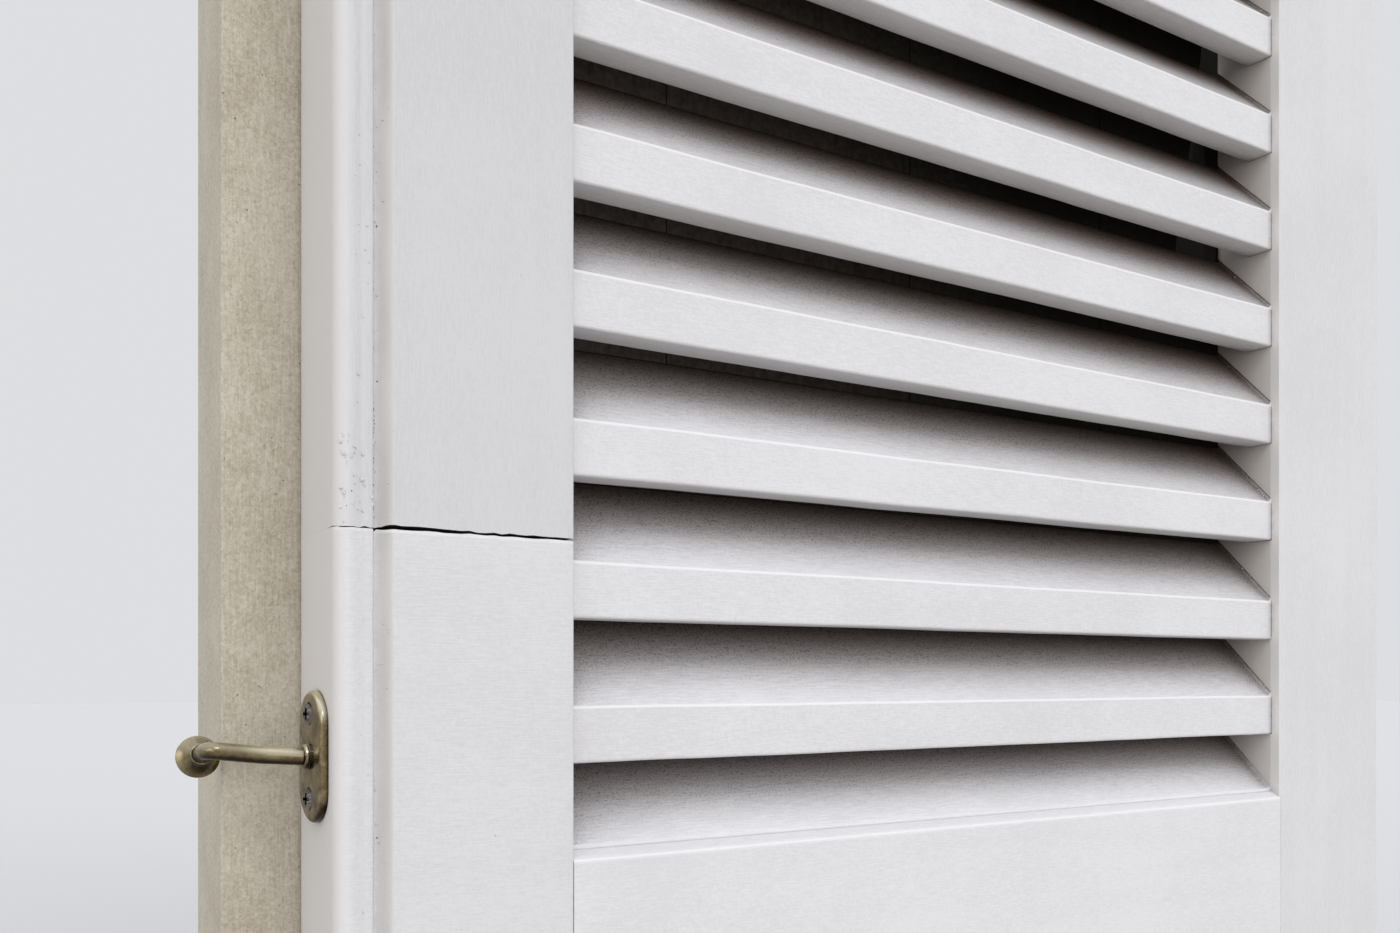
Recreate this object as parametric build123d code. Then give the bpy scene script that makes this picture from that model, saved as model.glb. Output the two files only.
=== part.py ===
from build123d import *
import math
import os

# A painted timber shutter leaf with fixed louvres, hung on two pintles in front of its own frame.
# Millimetres. X runs right along the face, Y into the building, Z up.
# The origin is the middle of the four wall fixing holes, on the plane of the frame's back.

# Leaf, seen from the front
opening_width = 399.0
left_stile_width = 80.0
right_stile_width = 90.0
bottom_rail_height = 115.0
top_rail_height = 95.0
arris_radius = 0.8

# Slats
slat_count = 18
slat_pitch = 50.0
slat_face_height = 19.3
slat_land_depth = 13.0
slat_depth = 31.0
slat_slope_deg = 46.7
slat_recess = 5.0
slat_nose_radius = 1.0
slat_housing_depth = 8.0
housing_clearance = 0.1
first_slat_height = 32.5
rail_bevel_rise = 3.0

# Bead and cove worked on the free edge of the left stile
bead_radius = 4.0
bead_width = 8.2
bead_crease_depth = 0.8
fillet_strip_width = 4.0
strip_corner_radius = 1.2
cove_width = 5.7
cove_depth = 2.8

# Splices where the feet of both stiles were renewed, measured up from the bottom rail's front arris
left_splice_height = 108.4
right_splice_height = 101.6
left_splice_gap = 1.1
right_foot_step = 1.0
tongue_width = 36.0
tongue_thickness = 9.0
tongue_height = 64.0
tongue_clearance = 0.1
tongue_margin = 8.0

# Rail tenons
tenon_thickness = 12.0
tenon_length = 50.0
tenon_shoulder = 18.0
tenon_clearance = 0.1

# Backing boards, tongued and grooved, rebated into the leaf's back
board_rebate = 10.0
board_end_rebate = 12.0
board_thickness = 7.0
first_board_width = 66.6
last_board_width = 103.8
middle_board_count = 2
board_joint_gap = 0.6
board_tongue = 4.0
board_clearance = 0.1

# Frame
frame_depth = 45.0
jamb_width = 60.0
hinge_jamb_width = 100.0
head_height = 60.0
reveal_left = 25.0
reveal_right = 45.0
reveal_top = 25.0
reveal_bottom = 25.0
leaf_gap = 1.5
frame_tenon_length = 38.0
frame_tenon_thickness = 14.0
fixing_inset = 40.0
fixing_drop = 90.0
fixing_hole_radius = 4.0
fixing_sink_radius = 8.0

# Pintle hinges
axis_offset = 10.0
hinge_inset = 135.0
pin_radius = 4.94
pin_length = 36.0
pin_clearance = 0.06
knuckle_radius = 8.0
knuckle_height = 38.0
boss_height = 12.0
arm_width = 12.0
washer_radius = 7.2
washer_thickness = 1.5
hinge_running_gap = 0.1
pintle_plate_width = 36.0
pintle_plate_height = 84.0
pintle_plate_thickness = 4.0
leaf_plate_width = 30.0
leaf_plate_height = 84.0
leaf_plate_thickness = 3.0
web_thickness = 6.0
hinge_screw_radius = 2.2
hinge_screw_head_radius = 4.2
hinge_screw_length = 26.0
hinge_screw_pitch = 27.0
screw_clearance = 0.05

# Each hinge screw's height in pitches and its place across the plate in plate widths
leaf_screw_rows = ((-1.3, -0.2), (-0.85, 0.2), (0.85, 0.2), (1.3, -0.2))
pintle_screw_rows = ((-1.2, 0.25), (-0.6, 0.3), (0.35, 0.3), (1.2, 0.25))

# Pull on the leaf's free edge
pull_height = 37.1
pull_plate_length = 42.4
pull_plate_width = 28.0
pull_plate_thickness = 2.6
pull_plate_bevel = 1.8
pull_plate_end_rise = 7.9
pull_screw_spacing = 27.0
pull_screw_radius = 1.7
pull_screw_head_radius = 3.2
pull_screw_dome_height = 0.6
pull_screw_cone_height = 1.2
pull_screw_proud = 0.5
pull_sink_margin = 0.7
pull_sink_depth = 2.1
pull_screw_length = 20.0
pull_screw_tilt_deg = 17.0
cross_slot_width = 1.0
cross_slot_length = 3.8
cross_slot_depth = 0.9
rod_radius = 2.75
rod_spigot_radius = 2.0
collar_radius = 4.1
collar_height = 2.0
rod_start_run = 12.4
rod_start_setback = 1.0
rod_start_rise = 0.9
rod_run = 27.6
rod_setback = 3.6
rod_rise = 2.7
rod_start_bend = 30.0
rod_end_bend = 4.6
knob_setback = 12.8
knob_rise = 1.0
knob_run = 27.8
knob_neck_radius = 3.5
knob_rim_radius = 6.7
knob_length = 7.5
knob_rim_thickness = 1.1
knob_rim_ease = 0.8
knob_ring_radius = 0.55
knob_throat_swell = 0.35
knob_socket_depth = 3.0
knob_fit = 0.05

# Overall sizes and datum planes
leaf_thickness = slat_recess + slat_depth + board_thickness
leaf_width = left_stile_width + opening_width + right_stile_width
opening_height = first_slat_height + slat_count * slat_pitch
leaf_height = bottom_rail_height + opening_height + top_rail_height
frame_width = reveal_left + leaf_width + reveal_right
frame_height = reveal_bottom + leaf_height + reveal_top

frame_left = -frame_width / 2
frame_right = frame_width / 2
frame_bottom = -frame_height / 2
frame_top = frame_height / 2
frame_front = -frame_depth

leaf_left = frame_left + reveal_left
leaf_right = leaf_left + leaf_width
leaf_back = frame_front - leaf_gap
leaf_front = leaf_back - leaf_thickness
leaf_middle = leaf_front + leaf_thickness / 2
leaf_bottom = frame_bottom + reveal_bottom
leaf_top = leaf_bottom + leaf_height
opening_left = leaf_left + left_stile_width
opening_right = opening_left + opening_width
rail_arris = leaf_bottom + bottom_rail_height
opening_top = rail_arris + opening_height

slat_front = leaf_front + slat_recess
board_front = slat_front + slat_depth
board_bottom = rail_arris - board_end_rebate
slope = math.tan(math.radians(slat_slope_deg))
slat_lift = (slat_depth - slat_land_depth) * slope
board_top = opening_top + slat_lift + board_end_rebate

left_splice = rail_arris + left_splice_height
right_splice = rail_arris + right_splice_height
hinge_x = leaf_right + axis_offset
hinge_y = leaf_middle
hinge_heights = {
    "lower": leaf_bottom + hinge_inset,
    "upper": leaf_top - hinge_inset,
}


def block(x_low, x_high, y_low, y_high, z_low, z_high):
    """A box between six planes."""
    size = (x_high - x_low, y_high - y_low, z_high - z_low)
    middle = ((x_low + x_high) / 2, (y_low + y_high) / 2, (z_low + z_high) / 2)
    return Pos(*middle) * Box(*size)


def bar_along_x(points, x_low, x_high):
    """A bar whose section is drawn in Y and Z."""
    section = make_face(Polyline([(0, y, z) for y, z in points], close=True))
    return extrude(Pos(x_low, 0, 0) * section, amount=x_high - x_low, dir=(1, 0, 0))


def rounded(bar, radius, places):
    """Rounds the X-wise edges of a bar that pass through the given Y, Z places."""
    edges = [
        edge
        for edge in bar.edges().filter_by(Axis.X)
        if any(abs(edge.center().Y - y) < 1e-4 and abs(edge.center().Z - z) < 1e-4 for y, z in places)
    ]
    return fillet(edges, radius)


# Slats

def slat_section(grow=0.0):
    """Section of a slat, its front bottom arris at zero, grown all round for the housings."""
    back = slat_depth
    bottom_corner = slat_land_depth + grow * math.tan(math.radians(slat_slope_deg / 2))
    lift = grow / math.cos(math.radians(slat_slope_deg))
    front_top = slat_face_height + lift - grow * slope
    back_top = slat_face_height + lift + back * slope
    back_bottom = slat_lift - lift
    return [
        (-grow, -grow),
        (-grow, front_top),
        (back, back_top),
        (back, back_bottom),
        (bottom_corner, -grow),
    ]


def slat_height(index):
    """Height of a slat's front bottom arris; zero is the lowest slat."""
    return rail_arris + first_slat_height + index * slat_pitch


def slat_bar(index, x_low, x_high, grow=0.0):
    """A slat, or the same bar grown for its housing."""
    base = slat_height(index)
    points = [(slat_front + y, base + z) for y, z in slat_section(grow)]
    bar = bar_along_x(points, x_low, x_high)
    if grow:
        return bar
    return rounded(bar, slat_nose_radius, points[:2])


def slat(index):
    return slat_bar(index, opening_left - slat_housing_depth, opening_right + slat_housing_depth)


def housings(x_low, x_high):
    """All the slots that hold the slats' ends on one side."""
    return [slat_bar(index, x_low, x_high, housing_clearance) for index in range(slat_count)]


# Stiles

def left_stile_section():
    """Plan of the left stile: bead, crease, strip and cove on its free front corner."""
    x, y = leaf_left, leaf_front
    strip_end = bead_width + fillet_strip_width
    cove_end = strip_end + cove_width
    quarter = math.cos(math.radians(45))
    cove_middle = (x + strip_end + cove_width * 0.7, y + cove_depth * 0.71)
    bead_middle = (x + bead_radius * (1 - quarter), y + bead_radius * (1 - quarter))
    strip_middle = (
        x + strip_end - strip_corner_radius * (1 - quarter),
        y + strip_corner_radius * (1 - quarter),
    )
    outline = [
        Line((x, leaf_back), (x, y + bead_radius)),
        ThreePointArc((x, y + bead_radius), bead_middle, (x + bead_radius, y)),
        ThreePointArc(
            (x + bead_radius, y),
            (x + (bead_radius + bead_width) / 2, y + bead_crease_depth / 4),
            (x + bead_width, y + bead_crease_depth),
        ),
        Polyline(
            (x + bead_width, y + bead_crease_depth),
            (x + bead_width + bead_crease_depth, y),
            (x + strip_end - strip_corner_radius, y),
        ),
        ThreePointArc(
            (x + strip_end - strip_corner_radius, y),
            strip_middle,
            (x + strip_end, y + strip_corner_radius),
        ),
        Line((x + strip_end, y + strip_corner_radius), (x + strip_end, y + cove_depth)),
        ThreePointArc((x + strip_end, y + cove_depth), cove_middle, (x + cove_end, y)),
        Polyline(
            (x + cove_end, y),
            (opening_left - arris_radius, y),
            (opening_left, y + arris_radius),
            (opening_left, leaf_back),
            (x, leaf_back),
        ),
    ]
    return make_face(outline)


def right_stile_section(step=0.0):
    """Plan of the right stile, plain with eased front corners, its outer edge set back by a step."""
    edge = leaf_right - step
    return make_face(
        Polyline(
            (opening_right, leaf_back),
            (opening_right, leaf_front + arris_radius),
            (opening_right + arris_radius, leaf_front),
            (edge - arris_radius, leaf_front),
            (edge, leaf_front + arris_radius),
            (edge, leaf_back),
            close=True,
        )
    )


def raised(section, z_low, z_high):
    """A plan section raised between two heights."""
    return extrude(Pos(0, 0, z_low) * section, amount=z_high - z_low, dir=(0, 0, 1))


def board_rebates():
    """The space cut in both stiles for the backing boards, with its clearance."""
    return block(
        opening_left - board_rebate - board_clearance,
        opening_right + board_rebate + board_clearance,
        board_front,
        leaf_back + 1,
        board_bottom - board_clearance,
        board_top + board_clearance,
    )


def tenon_span(low, high, grow=0.0):
    """Y and Z planes of a rail's tenon between the rail's two edges."""
    return (
        leaf_middle - tenon_thickness / 2 - grow,
        leaf_middle + tenon_thickness / 2 + grow,
        low + tenon_shoulder - grow,
        high - tenon_shoulder + grow,
    )


def rail_mortises():
    """The mortises of both rails, running from one stile to the other."""
    left = opening_left - tenon_length - tenon_clearance
    right = opening_right + tenon_length + tenon_clearance
    lower = tenon_span(leaf_bottom, rail_arris, tenon_clearance)
    upper = tenon_span(opening_top, leaf_top, tenon_clearance)
    return [block(left, right, *lower), block(left, right, *upper)]


def splice_tongue(x_middle, height, grow=0.0):
    """The loose tongue inside a spliced stile."""
    half = tongue_width / 2 + grow
    return block(
        x_middle - half,
        x_middle + half,
        leaf_middle - tongue_thickness / 2 - grow,
        leaf_middle + tongue_thickness / 2 + grow,
        height - tongue_height / 2 - grow,
        height + tongue_height / 2 + grow,
    )


tongue_setback = slat_housing_depth + tongue_margin + tongue_width / 2
left_tongue_x = opening_left - tongue_setback
right_tongue_x = opening_right + tongue_setback


def left_stiles():
    """The two lengths of the left stile. The splice has opened across the flat, not under the bead."""
    bead_end = leaf_left + bead_width + fillet_strip_width
    cuts = [board_rebates(), *rail_mortises(), *housings(opening_left - slat_housing_depth, opening_left + 1)]
    section = left_stile_section()
    upper = raised(section, left_splice, leaf_top)
    lower = raised(section, leaf_bottom, left_splice)
    slot = splice_tongue(left_tongue_x, left_splice, tongue_clearance)
    crack = block(
        bead_end,
        opening_left + 1,
        leaf_front - 1,
        leaf_back + 1,
        left_splice - 1,
        left_splice + left_splice_gap,
    )
    upper = upper - cuts - slot - crack
    lower = lower - cuts - slot - pull_screw_holes()
    return upper, lower


def right_stiles():
    """The two lengths of the right stile, its foot slightly narrower, with the hinge plates let in."""
    cuts = [board_rebates(), *rail_mortises(), *housings(opening_right - 1, opening_right + slat_housing_depth)]
    for height in hinge_heights.values():
        cuts.append(leaf_plate_block(height))
        cuts += leaf_screws(height, screw_clearance)
    slot = splice_tongue(right_tongue_x, right_splice, tongue_clearance)
    upper = raised(right_stile_section(), right_splice, leaf_top) - cuts - slot
    lower = raised(right_stile_section(right_foot_step), leaf_bottom, right_splice) - cuts - slot
    return upper, lower


# Rails

def bottom_rail():
    """The bottom rail: flush face, bevelled ledge and a top that slopes like the slats."""
    ledge = rail_arris + rail_bevel_rise
    points = [
        (leaf_front, leaf_bottom),
        (leaf_front, rail_arris),
        (slat_front, ledge),
        (board_front, ledge + slat_depth * slope - slat_nose_radius),
        (board_front, board_bottom),
        (leaf_back, board_bottom),
        (leaf_back, leaf_bottom),
    ]
    rail = rounded(bar_along_x(points, opening_left, opening_right), arris_radius, points[1:3])
    tenon = block(
        opening_left - tenon_length,
        opening_right + tenon_length,
        *tenon_span(leaf_bottom, rail_arris),
    )
    return rail + tenon


def top_rail():
    """The top rail, its underside cut like the underside of a slat."""
    land_end = slat_front + slat_land_depth
    points = [
        (leaf_front, leaf_top),
        (leaf_front, opening_top),
        (land_end, opening_top),
        (board_front, opening_top + slat_lift),
        (board_front, board_top),
        (leaf_back, board_top),
        (leaf_back, leaf_top),
    ]
    rail = rounded(bar_along_x(points, opening_left, opening_right), arris_radius, points[1:2])
    tenon = block(
        opening_left - tenon_length,
        opening_right + tenon_length,
        *tenon_span(opening_top, leaf_top),
    )
    return rail + tenon


# Backing boards

def board_edges():
    """The X planes of the joints between boards; those between the outer two share the width left."""
    left = opening_left - board_rebate
    right = opening_right + board_rebate
    first = left + first_board_width
    last = right - last_board_width
    steps = range(middle_board_count + 1)
    return [left, *(first + (last - first) * step / middle_board_count for step in steps), right]


def broken_edge():
    """What has split away from the last board, beside the right stile."""
    outline = [
        (-27, 262), (-37, 274), (-34.6, 290), (-31, 306), (-27, 320), (-24, 340), (-19, 356), (-18, 372),
        (-14.8, 390), (-12, 412), (-5, 432), (board_rebate + 1, 452), (board_rebate + 1, 386),
        (-3, 377), (-8, 362), (-12, 348), (-11.4, 338), (-8, 322), (-4.5, 306), (-1.5, 292), (-4, 275), (-13, 266),
    ]
    points = [(opening_right + x, board_front - 1, rail_arris + z) for x, z in outline]
    face = make_face(Polyline(points, close=True))
    return extrude(face, amount=board_thickness + 2, dir=(0, 1, 0))


def backing_board(left, right, has_groove, has_tongue):
    """One board with a groove on its left edge and a tongue on its right edge where asked."""
    left_edge = left + (board_joint_gap / 2 if has_groove else 0)
    right_edge = right - (board_joint_gap / 2 if has_tongue else 0)
    middle = (board_front + leaf_back) / 2
    half = board_thickness / 6
    board = block(left_edge, right_edge, board_front, leaf_back, board_bottom, board_top)
    if has_tongue:
        board += block(right_edge, right_edge + board_tongue, middle - half, middle + half, board_bottom, board_top)
    if has_groove:
        depth = board_tongue - board_joint_gap + board_clearance
        half += board_clearance
        board -= block(left_edge - 1, left_edge + depth, middle - half, middle + half, board_bottom - 1, board_top + 1)
    return board


def backing_boards():
    edges = board_edges()
    boards = []
    for index, (left, right) in enumerate(zip(edges, edges[1:])):
        boards.append(backing_board(left, right, index > 0, index < len(edges) - 2))
    boards[-1] -= broken_edge()
    return boards


# Pull

# The leaf's free edge seen from outside the leaf: X forwards, Y up, Z away from the edge.
edge_plane = Plane(origin=(leaf_left, leaf_middle, rail_arris + pull_height), x_dir=(0, -1, 0), z_dir=(-1, 0, 0))


def pull_plate_face(inset=0.0):
    """Outline of the plate: straight sides and bowed ends."""
    half = pull_plate_width / 2 - inset
    end = pull_plate_length / 2 - inset
    corner = end - pull_plate_end_rise
    return make_face(
        [
            Line((-half, -corner), (-half, corner)),
            ThreePointArc((-half, corner), (0, end), (half, corner)),
            Line((half, corner), (half, -corner)),
            ThreePointArc((half, -corner), (0, -end), (-half, -corner)),
        ]
    )


def pull_screw_places():
    """Frame of each screw, its axis turned towards the front."""
    return [
        edge_plane * Pos(0, side * pull_screw_spacing / 2, pull_plate_thickness) * Rot(0, pull_screw_tilt_deg, 0)
        for side in (-1, 1)
    ]


def pull_screw():
    """A raised cross-recess screw, its head just proud of the plate."""
    head = pull_screw_head_radius
    dome_rise = pull_screw_dome_height
    profile = make_face(
        [
            Polyline((0, 0, dome_rise), (0, 0, -pull_screw_length), (pull_screw_radius, 0, -pull_screw_length + 3)),
            Polyline(
                (pull_screw_radius, 0, -pull_screw_length + 3),
                (pull_screw_radius, 0, -pull_screw_cone_height),
                (head, 0, 0.0),
            ),
            ThreePointArc((head, 0, 0.0), (head * 0.72, 0, dome_rise * 0.62), (0, 0, dome_rise)),
        ]
    )
    body = revolve(profile, Axis.Z)
    slot = Pos(0, 0, dome_rise) * Box(cross_slot_length, cross_slot_width, 2 * cross_slot_depth)
    return Pos(0, 0, pull_screw_proud) * (body - slot - Rot(0, 0, 90) * slot)


def pull_screw_holes():
    """Clearance for the screws in the plate and the stile."""
    radius = pull_screw_radius + screw_clearance
    hole = Pos(0, 0, -pull_screw_length / 2) * Cylinder(radius, pull_screw_length + 4)
    return [place * hole for place in pull_screw_places()]


def pull_screw_sinks():
    """Countersinks cut square to the plate, wider than the screws' heads that sit askew in them."""
    top = pull_screw_head_radius + pull_sink_margin
    sink = Pos(0, 0, -pull_sink_depth / 2) * Cone(top - pull_sink_depth, top, pull_sink_depth)
    mouth = Pos(0, 0, pull_plate_thickness / 2) * Cylinder(top, pull_plate_thickness)
    places = [Pos(0, side * pull_screw_spacing / 2, pull_plate_thickness) for side in (-1, 1)]
    return [edge_plane * place * (sink + mouth) for place in places]


def pull_screws():
    return [place * pull_screw() for place in pull_screw_places()]


def pull_plate():
    """A cast plate with a bevelled rim and a ringed collar round the rod."""
    rim = pull_plate_thickness - pull_plate_bevel
    plate = extrude(pull_plate_face(), amount=rim)
    top = loft([Pos(0, 0, rim) * pull_plate_face(), Pos(0, 0, pull_plate_thickness) * pull_plate_face(pull_plate_bevel)])
    plate += top
    collar = Pos(0, 0, pull_plate_thickness + collar_height / 2) * Cylinder(collar_radius, collar_height)
    collar = fillet(collar.edges().group_by(Axis.Z)[-1], collar_height * 0.45)
    plate += collar
    plate -= Cylinder(rod_spigot_radius + knob_fit, 4 * pull_plate_thickness + 4 * collar_height)
    return edge_plane * plate - pull_screw_holes() - pull_screw_sinks()


def rod_route():
    """Corners of the rod: out from the collar, a slow drift back and up, then in towards the building."""
    base = pull_plate_thickness + collar_height
    start = Vector(0, 0, base)
    first = Vector(-rod_start_setback, rod_start_rise, base + rod_start_run)
    bend = Vector(-rod_setback, rod_rise, base + rod_run)
    end = Vector(-knob_setback, knob_rise, base + knob_run)
    return [start, first, bend, end]


def rod_end_direction():
    route = rod_route()
    return (route[3] - route[2]).normalized()


def pull_rod():
    """The bent round rod, with a spigot in the plate and its end inside the knob."""
    route = rod_route()
    tip = route[3] + rod_end_direction() * (knob_socket_depth - knob_fit)
    path = FilletPolyline(route[0], route[1], route[2], tip, radius=[rod_start_bend, rod_end_bend])
    section = Plane(origin=path @ 0, z_dir=path % 0) * Circle(rod_radius)
    spigot_length = pull_plate_thickness + collar_height
    under_collar = Pos(0, 0, spigot_length / 2) * Cylinder(2 * rod_radius, spigot_length)
    spigot = Pos(0, 0, spigot_length / 2) * Cylinder(rod_spigot_radius, spigot_length)
    return edge_plane * (sweep(section, path=path) - under_collar + spigot)


def pull_knob():
    """The flared knob, with a ring at its neck."""
    ring = knob_ring_radius
    neck = knob_neck_radius
    rim = knob_rim_radius
    back = knob_length
    profile = make_face(
        [
            Polyline((0, 0, 0), (neck - ring, 0, 0)),
            ThreePointArc((neck - ring, 0, 0), (neck, 0, ring), (neck - ring, 0, 2 * ring)),
            ThreePointArc(
                (neck - ring, 0, 2 * ring),
                (neck + knob_throat_swell, 0, back / 2),
                (rim, 0, back - knob_rim_thickness),
            ),
            ThreePointArc(
                (rim, 0, back - knob_rim_thickness),
                (rim - knob_rim_ease / 5, 0, back - knob_rim_thickness / 3),
                (rim - knob_rim_ease, 0, back),
            ),
            Polyline((rim - knob_rim_ease, 0, back), (0, 0, back), (0, 0, 0)),
        ]
    )
    knob = revolve(profile, Axis.Z)
    socket = Pos(0, 0, knob_socket_depth / 2 - 0.5) * Cylinder(rod_radius + knob_fit, knob_socket_depth + 1)
    place = Plane(origin=tuple(rod_route()[3]), z_dir=tuple(rod_end_direction()))
    return edge_plane * (place * (knob - socket))


# Hinges

def countersunk_screw(grow=0.0):
    """A countersunk wood screw along -Z with its head flush at zero."""
    radius = hinge_screw_radius + grow
    head = hinge_screw_head_radius + grow
    depth = head - radius
    profile = make_face(
        Polyline(
            (0, 0, 0),
            (head, 0, 0),
            (radius, 0, -depth),
            (radius, 0, -hinge_screw_length + 4),
            (0, 0, -hinge_screw_length),
            close=True,
        )
    )
    return revolve(profile, Axis.Z)


def leaf_plate_block(height):
    """The plate let flush into the right stile's edge."""
    return block(
        leaf_right - leaf_plate_thickness,
        leaf_right,
        leaf_middle - leaf_plate_width / 2,
        leaf_middle + leaf_plate_width / 2,
        height - leaf_plate_height / 2,
        height + leaf_plate_height / 2,
    )


def leaf_screws(height, grow=0.0):
    """Screws that hold the leaf's plate, above and below the knuckle, staggered about its middle."""
    screws = []
    for step, side in leaf_screw_rows:
        place = Pos(leaf_right, leaf_middle + side * leaf_plate_width, height + step * hinge_screw_pitch)
        screws.append(place * Rot(0, 90, 0) * countersunk_screw(grow))
    return screws


def knuckle_base(height):
    return height - knuckle_height / 2


def knuckle(height):
    """The eye on the leaf: barrel, web and plate."""
    low = knuckle_base(height)
    barrel = Pos(hinge_x, hinge_y, low + knuckle_height / 2) * Cylinder(knuckle_radius, knuckle_height)
    web = block(
        leaf_right - leaf_plate_thickness,
        hinge_x,
        hinge_y - web_thickness / 2,
        hinge_y + web_thickness / 2,
        low,
        low + knuckle_height,
    )
    bore = Pos(hinge_x, hinge_y, low) * Cylinder(pin_radius + pin_clearance, 4 * knuckle_height)
    return leaf_plate_block(height) + barrel + web - bore - leaf_screws(height, screw_clearance)


def washer(height):
    """The ring that the knuckle turns on."""
    top = knuckle_base(height) - hinge_running_gap
    ring = Cylinder(washer_radius, washer_thickness) - Cylinder(pin_radius + pin_clearance, washer_thickness)
    return Pos(hinge_x, hinge_y, top - washer_thickness / 2) * ring


def pintle_plate_block(height):
    """The plate let flush into the right jamb's face."""
    left = hinge_x - knuckle_radius
    return block(
        left,
        left + pintle_plate_width,
        frame_front,
        frame_front + pintle_plate_thickness,
        height - pintle_plate_height / 2,
        height + pintle_plate_height / 2,
    )


def pintle_screws(height, grow=0.0):
    """Screws that hold the pintle's plate to the jamb."""
    screws = []
    middle = hinge_x - knuckle_radius + pintle_plate_width / 2
    for step, side in pintle_screw_rows:
        place = Pos(middle + side * pintle_plate_width, frame_front, height + step * hinge_screw_pitch)
        screws.append(place * Rot(90, 0, 0) * countersunk_screw(grow))
    return screws


def pintle(height):
    """The forged pintle: plate, arm, boss and upright pin."""
    boss_top = knuckle_base(height) - hinge_running_gap - washer_thickness
    boss_low = boss_top - boss_height
    boss = Pos(hinge_x, hinge_y, boss_low + boss_height / 2) * Cylinder(knuckle_radius, boss_height)
    arm = block(
        hinge_x - arm_width / 2,
        hinge_x + arm_width / 2,
        hinge_y,
        frame_front + pintle_plate_thickness,
        boss_low,
        boss_top,
    )
    pin = Pos(hinge_x, hinge_y, boss_top + pin_length / 2) * Cylinder(pin_radius, pin_length)
    pin = chamfer(pin.edges().group_by(Axis.Z)[-1], 1.0)
    return pintle_plate_block(height) + arm + boss + pin - pintle_screws(height, screw_clearance)


# Frame

def fixing_holes():
    """Countersunk holes for the four wall screws."""
    holes = []
    sink_depth = fixing_sink_radius - fixing_hole_radius
    for x in (frame_left + fixing_inset, frame_right - fixing_inset):
        for z in (frame_bottom + fixing_drop, frame_top - fixing_drop):
            hole = Cylinder(fixing_hole_radius, 3 * frame_depth)
            sink = Pos(0, 0, frame_depth - sink_depth / 2) * Cone(fixing_hole_radius, fixing_sink_radius, sink_depth)
            holes.append(Pos(x, 0, z) * Rot(90, 0, 0) * (hole + sink))
    return holes


def frame_tenons(low, high, grow=0.0):
    """The tenons at both ends of the head or sill, as one bar from jamb to jamb."""
    middle = frame_front / 2
    return block(
        frame_left + jamb_width - frame_tenon_length - grow,
        frame_right - hinge_jamb_width + frame_tenon_length + grow,
        middle - frame_tenon_thickness / 2 - grow,
        middle + frame_tenon_thickness / 2 + grow,
        low - grow,
        high + grow,
    )


sill_tenon = (frame_bottom + tenon_shoulder, frame_bottom + head_height - tenon_shoulder / 2)
head_tenon = (frame_top - head_height + tenon_shoulder / 2, frame_top - tenon_shoulder)


def frame_mortises():
    return [frame_tenons(*sill_tenon, tenon_clearance), frame_tenons(*head_tenon, tenon_clearance)]


def eased(member):
    """Rounds the long front edges of a frame member."""
    size = member.bounding_box().size
    axis = Axis.Z if size.Z > size.X else Axis.X
    edges = member.edges().filter_by(axis).group_by(Axis.Y)[0]
    return fillet(edges, arris_radius)


def left_jamb():
    member = block(frame_left, frame_left + jamb_width, frame_front, 0, frame_bottom, frame_top)
    return eased(member) - frame_mortises() - fixing_holes()


def right_jamb():
    member = block(frame_right - hinge_jamb_width, frame_right, frame_front, 0, frame_bottom, frame_top)
    cuts = frame_mortises() + fixing_holes()
    for height in hinge_heights.values():
        cuts.append(pintle_plate_block(height))
        cuts += pintle_screws(height, screw_clearance)
    return eased(member) - cuts


def cross_member(low, high, tenon):
    """The head or the sill, between the jambs."""
    left = frame_left + jamb_width
    right = frame_right - hinge_jamb_width
    return eased(block(left, right, frame_front, 0, low, high)) + frame_tenons(*tenon)


# The pieces, one file each

def pieces():
    found = {}
    found["left_stile_upper"], found["left_stile_foot"] = left_stiles()
    found["right_stile_upper"], found["right_stile_foot"] = right_stiles()
    found["left_splice_tongue"] = splice_tongue(left_tongue_x, left_splice)
    found["right_splice_tongue"] = splice_tongue(right_tongue_x, right_splice)
    found["bottom_rail"] = bottom_rail()
    found["top_rail"] = top_rail()
    for index in range(slat_count):
        found[f"slat_{index + 1:02d}"] = slat(index)
    for index, board in enumerate(backing_boards()):
        found[f"backing_board_{index + 1}"] = board
    found["pull_plate"] = pull_plate()
    found["pull_rod"] = pull_rod()
    found["pull_knob"] = pull_knob()
    found["pull_screws"] = pull_screws()
    knuckle_screws = []
    plate_screws = []
    for name, height in hinge_heights.items():
        found[f"knuckle_{name}"] = knuckle(height)
        found[f"pintle_{name}"] = pintle(height)
        found[f"washer_{name}"] = washer(height)
        knuckle_screws += leaf_screws(height)
        plate_screws += pintle_screws(height)
    found["knuckle_screws"] = knuckle_screws
    found["pintle_screws"] = plate_screws
    found["frame_left_jamb"] = left_jamb()
    found["frame_right_jamb"] = right_jamb()
    found["frame_sill"] = cross_member(frame_bottom, frame_bottom + head_height, sill_tenon)
    found["frame_head"] = cross_member(frame_top - head_height, frame_top, head_tenon)
    return found


os.makedirs("parts", exist_ok=True)
for name, piece in pieces().items():
    solids = piece if isinstance(piece, list) else [piece]
    export_step(Compound(children=[solid for item in solids for solid in item.solids()]), f"parts/{name}.step")
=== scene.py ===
import math

import bmesh
import bpy
import numpy as np
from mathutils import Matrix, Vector, noise


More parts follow.
